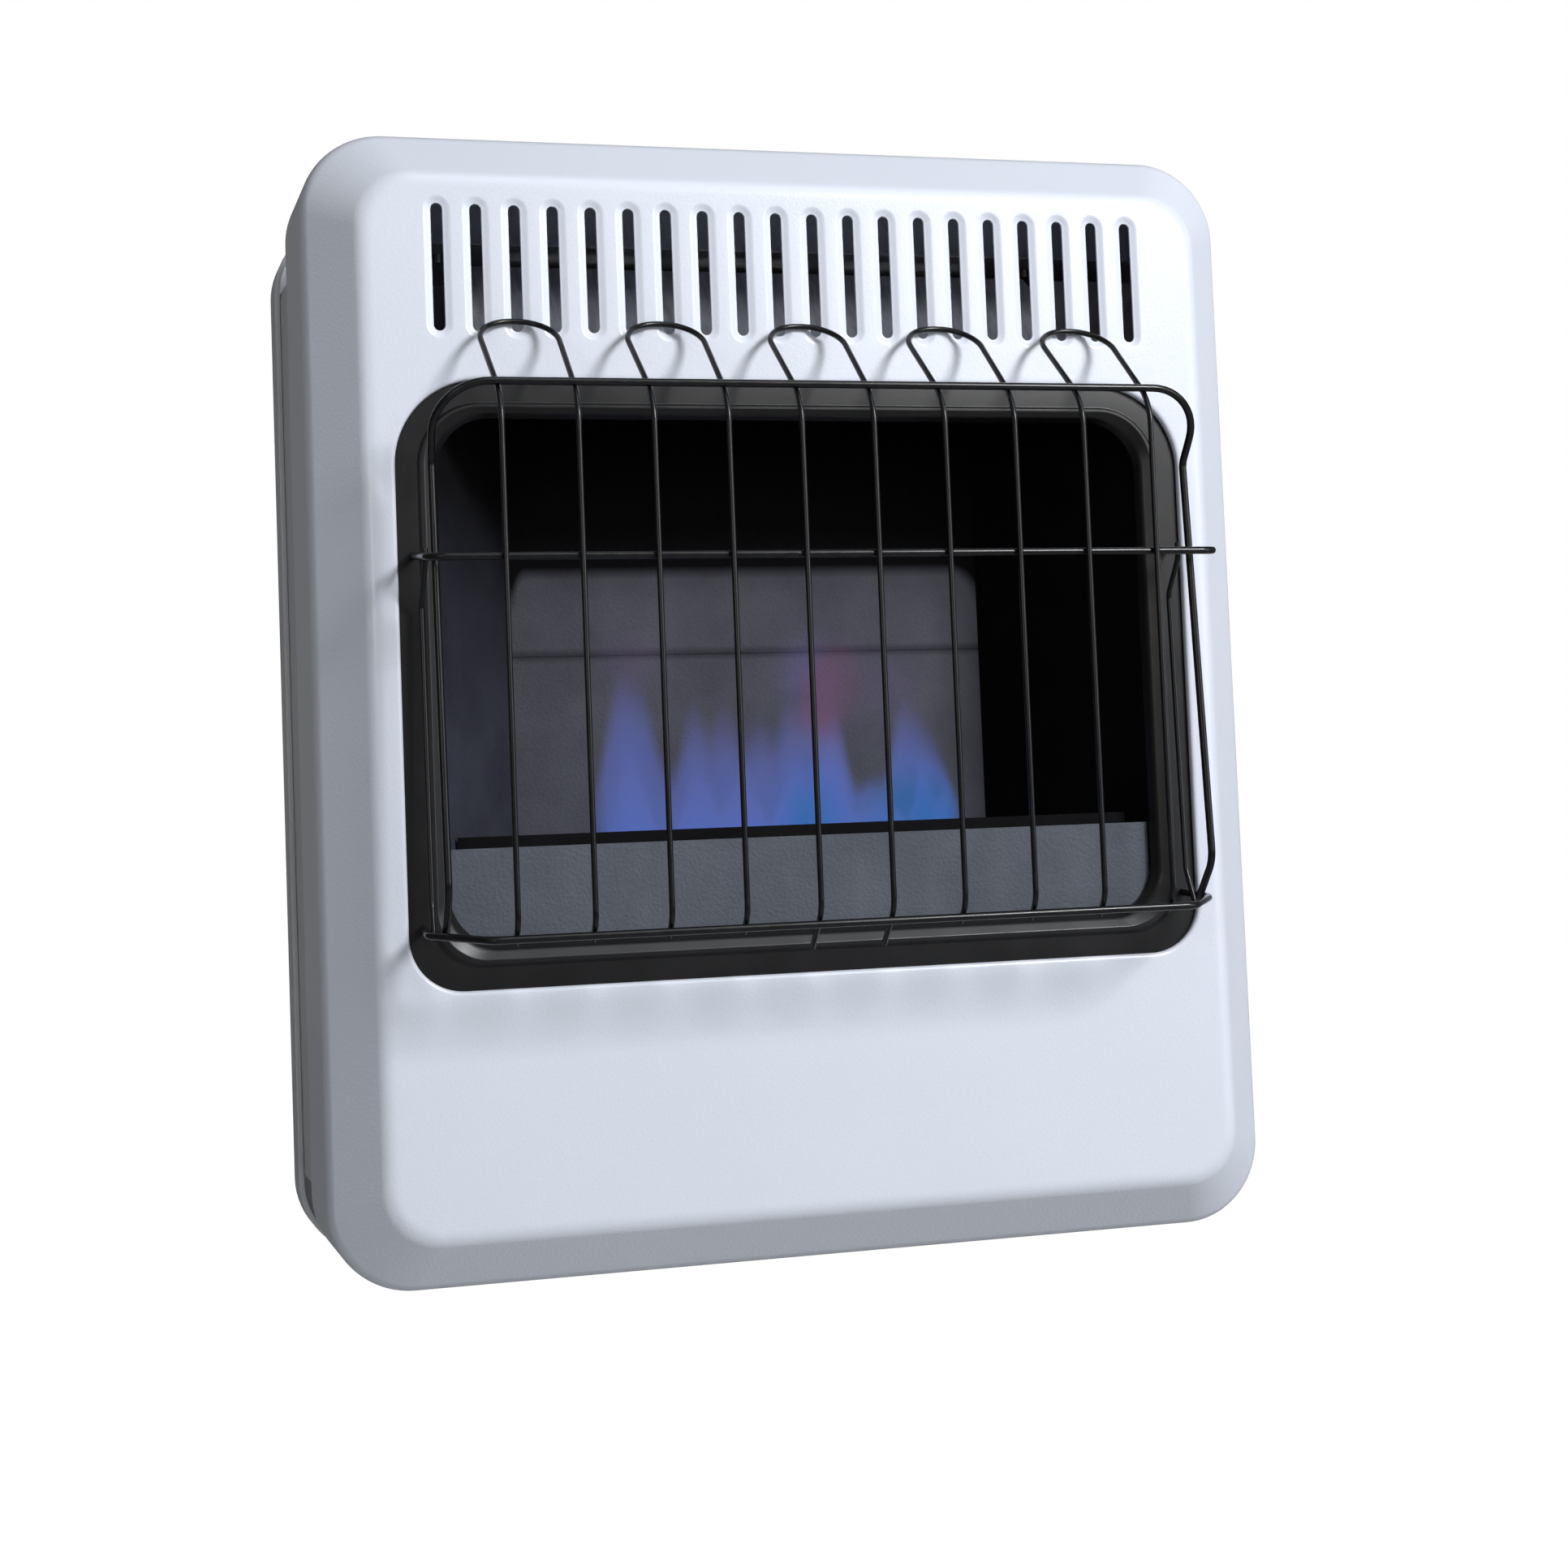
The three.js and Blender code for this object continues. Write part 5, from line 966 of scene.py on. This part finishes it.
def make_side_wire(side, name):
    top_x, top_z = between(*MID_RAIL, 18)
    foot_x, foot_z = between(*BOTTOM_RAIL[1:], 16)
    corners = [
        (side * (top_x - REACH), FACE_Y - 18, top_z + 4), (side * (top_x - REACH), FACE_Y - 18, top_z - 4),
        (side * 207.5, FACE_Y - 3, MID_RAIL_Z - 18), (side * 207.5, FACE_Y - 8, WINDOW_LOW + 45),
        (side * (foot_x - REACH), FACE_Y - 16, foot_z - 4),
    ]
    guard_wire(name, corners, THIN_WIRE, 9, "guard_" + name)


def make_guard():
    for number in range(5):
        make_hairpin(number)
    make_guard_frame()
    make_hooked_rail("mid_rail_wire", MID_RAIL, "guard_mid_rail")
    make_hooked_rail("bottom_rail_wire", BOTTOM_RAIL, "guard_bottom_rail")
    make_side_wire(-1, "side_wire_left")
    make_side_wire(1, "side_wire_right")


# Flames over the burner.

def flame_height(x, tongues):
    """Height of the flame above the burner at x, as the upper edge of its tongues."""
    height = 0.0
    for centre, left, right, top in tongues:
        share = (x - centre) / right if x > centre else (centre - x) / left
        if share < 1:
            height = max(height, top * (1 - share ** 1.4) ** 0.9)
    return height


FLAME_FOOT_Z = -72.0
FLAME_COLUMNS = 150
FLAME_ROWS = 52
FLAME_BOW = 4.0
FLAME_FADE = 12.0


def even_height(x, tongues):
    """Flame height averaged over its neighbours, so that no tongue ends in a sharp cusp."""
    height = 0.0
    weight = 0.0
    for offset in range(-4, 5):
        share = math.exp(-(offset / 2.4) ** 2)
        height += share * flame_height(x + offset * 1.6, tongues)
        weight += share
    return height / weight


def patches(spots, x, rise, width, tall):
    """Sum of soft round patches (x, height over the foot, amount) at one point."""
    return sum(amount * math.exp(-((x - spot_x) / width) ** 2 - ((rise - spot_rise) / tall) ** 2)
               for spot_x, spot_rise, amount in spots)


def make_flame(name, y, tongues, ends, strength, mist, cool):
    """Sheet of burning gas: "veil" is how dense it is and "tint" runs from blue to pink."""
    left, right = ends
    top = max(tongue[3] for tongue in tongues) + 30
    chilled = [(x, 8, 0.3) for x in cool]
    points = []
    veils = []
    tints = []
    for row in range(FLAME_ROWS + 1):
        above = top * row / FLAME_ROWS
        for column in range(FLAME_COLUMNS + 1):
            x = left + (right - left) * column / FLAME_COLUMNS
            height = even_height(x, tongues)
            rise = above / max(height, 1.0)
            soft = max(0.0, min(1.0, (1.12 - rise) / 0.62))
            glow = strength * soft * soft * (3 - 2 * soft) * (1.12 - 0.3 * min(rise, 1.0))
            glow *= max(0.0, min(1.0, min(x - left, right - x) / FLAME_FADE))
            haze = patches(mist, x, above, 17.0, 17.0)
            veils.append(max(glow * min(1.0, height / 8.0), haze * strength))
            warmer = patches(PINK, x, above, 15.0, 20.0) - patches(chilled, x, above, 17.0, 26.0)
            tints.append(max(0.0, min(1.0, 0.3 + 0.3 * min(rise, 1.4) + warmer)))
            wave = FLAME_BOW * math.sin(x * 0.07) * (row / FLAME_ROWS)
            points.append((x, y + wave, FLAME_FOOT_Z + above))
    piece = new_piece(name, points, grid_faces(FLAME_ROWS + 1, FLAME_COLUMNS + 1), FLAME)
    for label, values in (("veil", veils), ("tint", tints)):
        layer = piece.data.attributes.new(label, "FLOAT", "POINT")
        layer.data.foreach_set("value", values)
    return finish_piece(piece)


# Tongues are (middle, run to the left, run to the right, height).

FRONT_TONGUES = [
    (-84, 22, 22, 106), (-78, 22, 20, 98), (-46, 16, 24, 76), (-28, 22, 24, 75), (-8, 26, 28, 66),
    (12, 22, 20, 84), (24, 24, 18, 104), (34, 22, 13, 102), (58, 28, 28, 30), (75, 12, 38, 82),
    (92, 20, 18, 56), (-62, 16, 16, 38), (-99, 9, 14, 46),
]
REAR_TONGUES = [
    (-86, 10, 14, 62), (-46, 14, 12, 44), (10, 16, 16, 44), (30, 12, 12, 74), (83, 6, 8, 48),
    (58, 20, 18, 18), (98, 10, 10, 26), (-22, 14, 14, 40),
]
PINK = [(28, 66, 0.5), (38, 88, 0.4), (-80, 98, 0.3), (-24, 66, 0.12), (76, 76, 0.2)]
FRONT_MIST = [(-80, 96, 0.26), (20, 88, 0.36), (38, 88, 0.4), (29, 68, 0.44), (72, 78, 0.24)]
REAR_MIST = [(30, 76, 0.2)]


def make_flames():
    make_flame("flame_sheet_front", -112.0, FRONT_TONGUES, (-108, 114), 0.55, FRONT_MIST, (20, 62, 84, 104))
    make_flame("flame_sheet_rear", -122.0, REAR_TONGUES, (-100, 106), 0.34, REAR_MIST, (16, 84))


# Knob, igniter button and their dial plate on the casing's top.

def lathe(name, profile, height, x, material, body, finish, sides=48):
    """Closed form turned about a vertical axis; the profile runs in (radius, height)."""
    points = []
    for radius, rise in profile:
        for across, along in circle(x, CONTROL_Y, radius, sides):
            points.append((across, along, height + rise))
    faces = []
    last = (len(profile) - 1) * sides
    for start in range(0, last, sides):
        for side in range(sides):
            after = start + (side + 1) % sides
            faces.append((start + side, after, after + sides, start + side + sides))
    faces.append(tuple(reversed(range(sides))))
    faces.append(tuple(range(last, last + sides)))
    piece = new_piece(name, points, faces, material, body, finish)
    mark_sharp(piece, 50.0)
    return piece


DIAL_THICKNESS = 0.5
KNOB_TRAVEL = 3.5
KNOB_CLEARANCE = 1.0
KNOB_FLUTES = 24


def cut_flutes(knob, base):
    for vertex in knob.data.vertices:
        x = vertex.co.x / MM - CONTROL_X
        y = vertex.co.y / MM - CONTROL_Y
        z = vertex.co.z / MM - base
        if math.hypot(x, y) > 17.5 and 1.0 < z < 9.0:
            flute = 0.5 * (1 + math.cos(KNOB_FLUTES * math.atan2(y, x)))
            pull = 1 - 0.035 * flute
            vertex.co.x = (CONTROL_X + x * pull) * MM
            vertex.co.y = (CONTROL_Y + y * pull) * MM


def make_knob():
    base = CASING_TOP + DIAL_THICKNESS + FIT_GAP + KNOB_TRAVEL + KNOB_CLEARANCE
    skirt = filleted([(20.2, 0.0), (21.0, 0.0, 0.6), (21.0, 3.6, 0.6), (18.2, 10.0, 1.8),
                      (6.0, 10.6, 0.0), (3.4, 10.6)], 4)
    knob = lathe("knob_skirt", skirt, base, CONTROL_X, PLASTIC, "control", "black_plastic", 96)
    cut_flutes(knob, base)
    finish_piece(knob, "control_knob")
    grip_side = filleted([(-17.4, 9.6), (-17.4, 16.6, 3.0), (-13.6, 20.0, 3.0),
                          (13.6, 20.0, 3.0), (17.4, 16.6, 3.0), (17.4, 9.6)], 5)
    points = []
    faces = []
    count = len(grip_side)
    for side in (-1, 1):
        for y, z in grip_side:
            narrow = 4.9 - 0.13 * (z - 9.6)
            points.append((CONTROL_X + side * narrow, CONTROL_Y + y, base + z))
    faces.append(tuple(range(count)))
    faces.append(tuple(reversed(range(count, 2 * count))))
    for index in range(count):
        after = (index + 1) % count
        faces.append((index, count + index, count + after, after))
    grip = new_piece("knob_grip", points, faces, PLASTIC, "control", "black_plastic")
    recalculate(grip)
    round_edges(grip, 0.9, 3, 50.0)
    finish_piece(grip)
    line = slab((CONTROL_X - 0.7, CONTROL_Y - 16.2, base + 19.9),
                (CONTROL_X + 0.7, CONTROL_Y - 4.0, base + 20.0))
    finish_piece(new_piece("knob_pointer", *line, DIAL_WHITE, "control"))


def slab(low, high):
    points = [(x, y, z) for x in (low[0], high[0]) for y in (low[1], high[1]) for z in (low[2], high[2])]
    faces = [(0, 1, 3, 2), (4, 6, 7, 5), (0, 4, 5, 1), (2, 3, 7, 6), (0, 2, 6, 4), (1, 5, 7, 3)]
    return points, faces


DIAL_WHITE = moulded_plastic("dial_white", (0.7, 0.7, 0.7), (0.8, 0.8, 0.8), 0.4)
DIAL_TOP = CASING_TOP + 0.6
PRINT_Z = DIAL_TOP + 0.04
SETTINGS = (("OFF", 152), ("1", 180), ("2", 208), ("3", -28), ("4", 0), ("5", 28))


def print_word(name, word, x, y, height):
    """Word printed flat on the dial plate, centred on a point and read from the front."""
    text = bpy.data.curves.new(name, "FONT")
    text.body = word
    text.size = height * MM
    text.align_x = "CENTER"
    text.align_y = "CENTER"
    text.resolution_u = 4
    guide = show(name + "_text", text)
    mesh = final_mesh(guide)
    for vertex in mesh.vertices:
        vertex.co += Vector((x, y, PRINT_Z)) * MM
    word_piece = show(name, mesh)
    bpy.data.objects.remove(guide)
    bpy.data.curves.remove(text)
    mesh.materials.clear()
    mesh.materials.append(INK)
    word_piece["body"] = "cabinet"
    return finish_piece(recalculate(word_piece))


def round_knob(reach, angle):
    return Vector((CONTROL_X + reach * math.cos(angle), CONTROL_Y + reach * math.sin(angle)))


def make_dial_print():
    """Settings round the knob, and ticks that widen towards the hotter ones."""
    for index, (word, degrees) in enumerate(SETTINGS):
        centre = round_knob(29.0 if len(word) > 1 else 27.2, math.radians(degrees))
        print_word(f"dial_mark_{index}", word, centre.x, centre.y, 4.6)
    for index in range(7):
        angle = math.radians(-60 - 10 * index)
        start = round_knob(21.8, angle)
        end = round_knob(24.6, angle)
        across = (end - start).orthogonal().normalized() * (0.25 + 0.05 * index)
        corners = (start - across, start + across, end + across, end - across)
        points = [(*corner, PRINT_Z) for corner in corners]
        tick = new_piece(f"dial_tick_{index}", points, [(0, 1, 2, 3)], INK, smooth=False)
        finish_piece(flip_if_needed(tick, (0, 0, 1)))


IGNITER_RISE = 6.0


def make_igniter():
    seat = CASING_TOP + DIAL_THICKNESS + FIT_GAP
    collar = filleted([(8.0, -0.7), (12.0, -0.7, 0.0), (13.0, 0.3, 0.6), (13.0, 3.0, 0.8),
                       (11.6, 4.0, 0.6), (6.4, 4.0, 0.3), (6.2, 3.0)], 4)
    ring = lathe("igniter_collar", collar, seat, IGNITER_X, PLASTIC, "cabinet", "black_plastic")
    finish_piece(ring)
    button = filleted([(5.4, -8.0), (6.0, -8.0, 0.0), (6.0, 7.2, 1.2), (4.6, 8.0, 0.9),
                       (3.0, 7.4, 0.6), (1.4, 7.3, 0.0), (0.6, 7.3)], 4)
    cap = lathe("igniter_cap", button, seat + IGNITER_RISE, IGNITER_X, RED, "igniter", "red_plastic")
    finish_piece(cap, "igniter_button")


# Coats for the CAD's own pieces, the studio and the light.

FLOOR_HALF = 14000
FLOOR_Z = -1200
FLOOR_THICKNESS = 10


def make_studio():
    block = slab((-FLOOR_HALF, -FLOOR_HALF, FLOOR_Z - FLOOR_THICKNESS), (FLOOR_HALF, FLOOR_HALF, FLOOR_Z))
    new_piece("studio_floor", *block, studio_white(), smooth=False)


def studio_white():
    material, tree, shader = new_material("studio_white", (0.6, 0.6, 0.6), 0.9, specular=0.0)
    seen = tree.nodes.new("ShaderNodeLightPath").outputs["Is Camera Ray"]
    feed(tree, shader, {"Emission Color": (1.0, 1.0, 1.0, 1.0),
                        "Emission Strength": combine(tree, "MULTIPLY", seen, 0.92)})
    return material


def area_light(name, place, target, size, power, color):
    data = bpy.data.lights.new(name, "AREA")
    data.shape = "DISK"
    data.size = size
    data.energy = power
    data.color = color
    lamp = show(name, data)
    lamp.location = place
    way = Vector(target) - Vector(place)
    lamp.rotation_mode = "QUATERNION"
    lamp.rotation_quaternion = way.to_track_quat("-Z", "Y")


def add_window(tree, place, path, behind, direction, strength):
    """Bright patch of the room that only glossy surfaces mirror."""
    facing = add_node(tree, "ShaderNodeVectorMath", {0: place, 1: direction}, operation="DOT_PRODUCT")
    patch = fade(tree, facing["Value"], 0.94, 0.985)
    mirrored = combine(tree, "MULTIPLY", patch, path["Is Glossy Ray"])
    return mix_light(tree, mirrored, behind, add_background(tree, (0.95, 0.98, 1.0, 1.0), strength))


def add_background(tree, color, strength):
    return add_node(tree, "ShaderNodeBackground", {"Color": color, "Strength": strength})["Background"]


def mix_light(tree, factor, first, second):
    return add_node(tree, "ShaderNodeMixShader", {0: factor, 1: first, 2: second})["Shader"]


MIRRORED_WINDOWS = (((0.75, -0.65, 0.1), 4.5), ((0.26, -0.56, 0.79), 3.0))
SHARE_OF_WHITE_IN_SHINE = 0.1


def fill_world(tree):
    """White to the camera; soft light from the front and behind, less and warmer from the left."""
    place = tree.nodes.new("ShaderNodeTexCoord").outputs["Generated"]
    path = tree.nodes.new("ShaderNodeLightPath").outputs
    way = axes(tree, place)
    front = spread(tree, way["Y"], 0.05, 0.5, 0.1, -1.0, "SMOOTHSTEP")
    rear = fade(tree, way["Y"], 0.75, 0.98, 0.8)
    around = combine(tree, "MULTIPLY_ADD", rear, path["Is Diffuse Ray"], front)
    left = fade(tree, way["X"], -0.4, -0.85, 0.75)
    low = fade(tree, way["Z"], 0.55, 0.1)
    under = fade(tree, way["Z"], -0.1, -0.8, 0.3)
    shade = combine(tree, "MAXIMUM", combine(tree, "MULTIPLY", left, low), under)
    level = combine(tree, "MULTIPLY", around, combine(tree, "SUBTRACT", 1.0, shade))
    warmth = blend(tree, left, (0.9, 0.95, 1.0, 1.0), (1.0, 0.91, 0.8, 1.0))
    glow = add_background(tree, warmth, level)
    seen = add_background(tree, (1.0, 1.0, 1.0, 1.0), 1.0)
    either = combine(tree, "MAXIMUM", path["Is Camera Ray"], path["Is Transmission Ray"])
    shine = combine(tree, "MULTIPLY", path["Is Glossy Ray"], SHARE_OF_WHITE_IN_SHINE)
    shown = mix_light(tree, combine(tree, "MAXIMUM", either, shine), glow, seen)
    for direction, strength in MIRRORED_WINDOWS:
        shown = add_window(tree, place, path, shown, direction, strength)
    add_node(tree, "ShaderNodeOutputWorld", {"Surface": shown})


def set_light():
    world = bpy.data.worlds.new("studio")
    bpy.context.scene.world = world
    world.use_nodes = True
    world.node_tree.nodes.clear()
    fill_world(world.node_tree)
    way = Vector((0.457, -0.762, 0.457))
    area_light("key", way * 3.0, (0, -0.1, 0), 0.8, 73.0, (0.98, 0.99, 1.0))
    area_light("window_glow", (1.15, -2.9, 0.75), (0.1, -0.19, 0.15), 0.5, 4.5, (1.0, 1.0, 1.0))
    area_light("side_window", (-1.5, -2.35, 0.35), (0, -0.1, 0), 0.5, 4.3, (1.0, 0.95, 0.88))


make_front_cover()
make_cover_returns()
make_casing_side(-1, "left")
make_casing_side(1, "right")
make_casing_top()
make_back_panel()
make_trim()
make_guard()
make_flames()
make_knob()
make_igniter()
make_dial_print()

COATS = (
    (CASING, "casing_bottom"),
    (WALL_GREY, "chamber_back_lower chamber_back_upper"),
    (SIDE_GREY, "chamber_side_left"),
    (SIDE_PAINTED_SHADE, "chamber_side_right"),
    (BAFFLE_GREY, "front_baffle"),
    (SOOT, "burner_cover chamber_shelf"),
    (ROOF, "firebox_roof"),
    (ZINC, "wall_bracket cover_screw_top_left cover_screw_top_right cover_screw_bottom_left"),
    (ZINC, "cover_screw_bottom_right mixer_tube burner_saddle_left burner_saddle_right injector_mount"),
    (ZINC, "pilot_plate pilot_burner thermocouple valve_bracket control_spindle igniter_nut bulb_clip"),
    (BRASS, "injector inlet_fitting valve_cam thermostat_bulb thermostat_capillary thermocouple_lead"),
    (CAST, "gas_valve regulator_body dial_plate"),
    (TUBE, "burner_tube supply_tube burner_gas_tube pilot_tube"),
    (CERAMIC, "spark_electrode"),
    (PLASTIC, "igniter_body regulator_cap"),
    (SLEEVE, "ignition_lead"),
)
for material, nodes in COATS:
    for name in nodes.split():
        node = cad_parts[name]
        node.data.materials.clear()
        node.data.materials.append(material)

make_studio()
set_light()
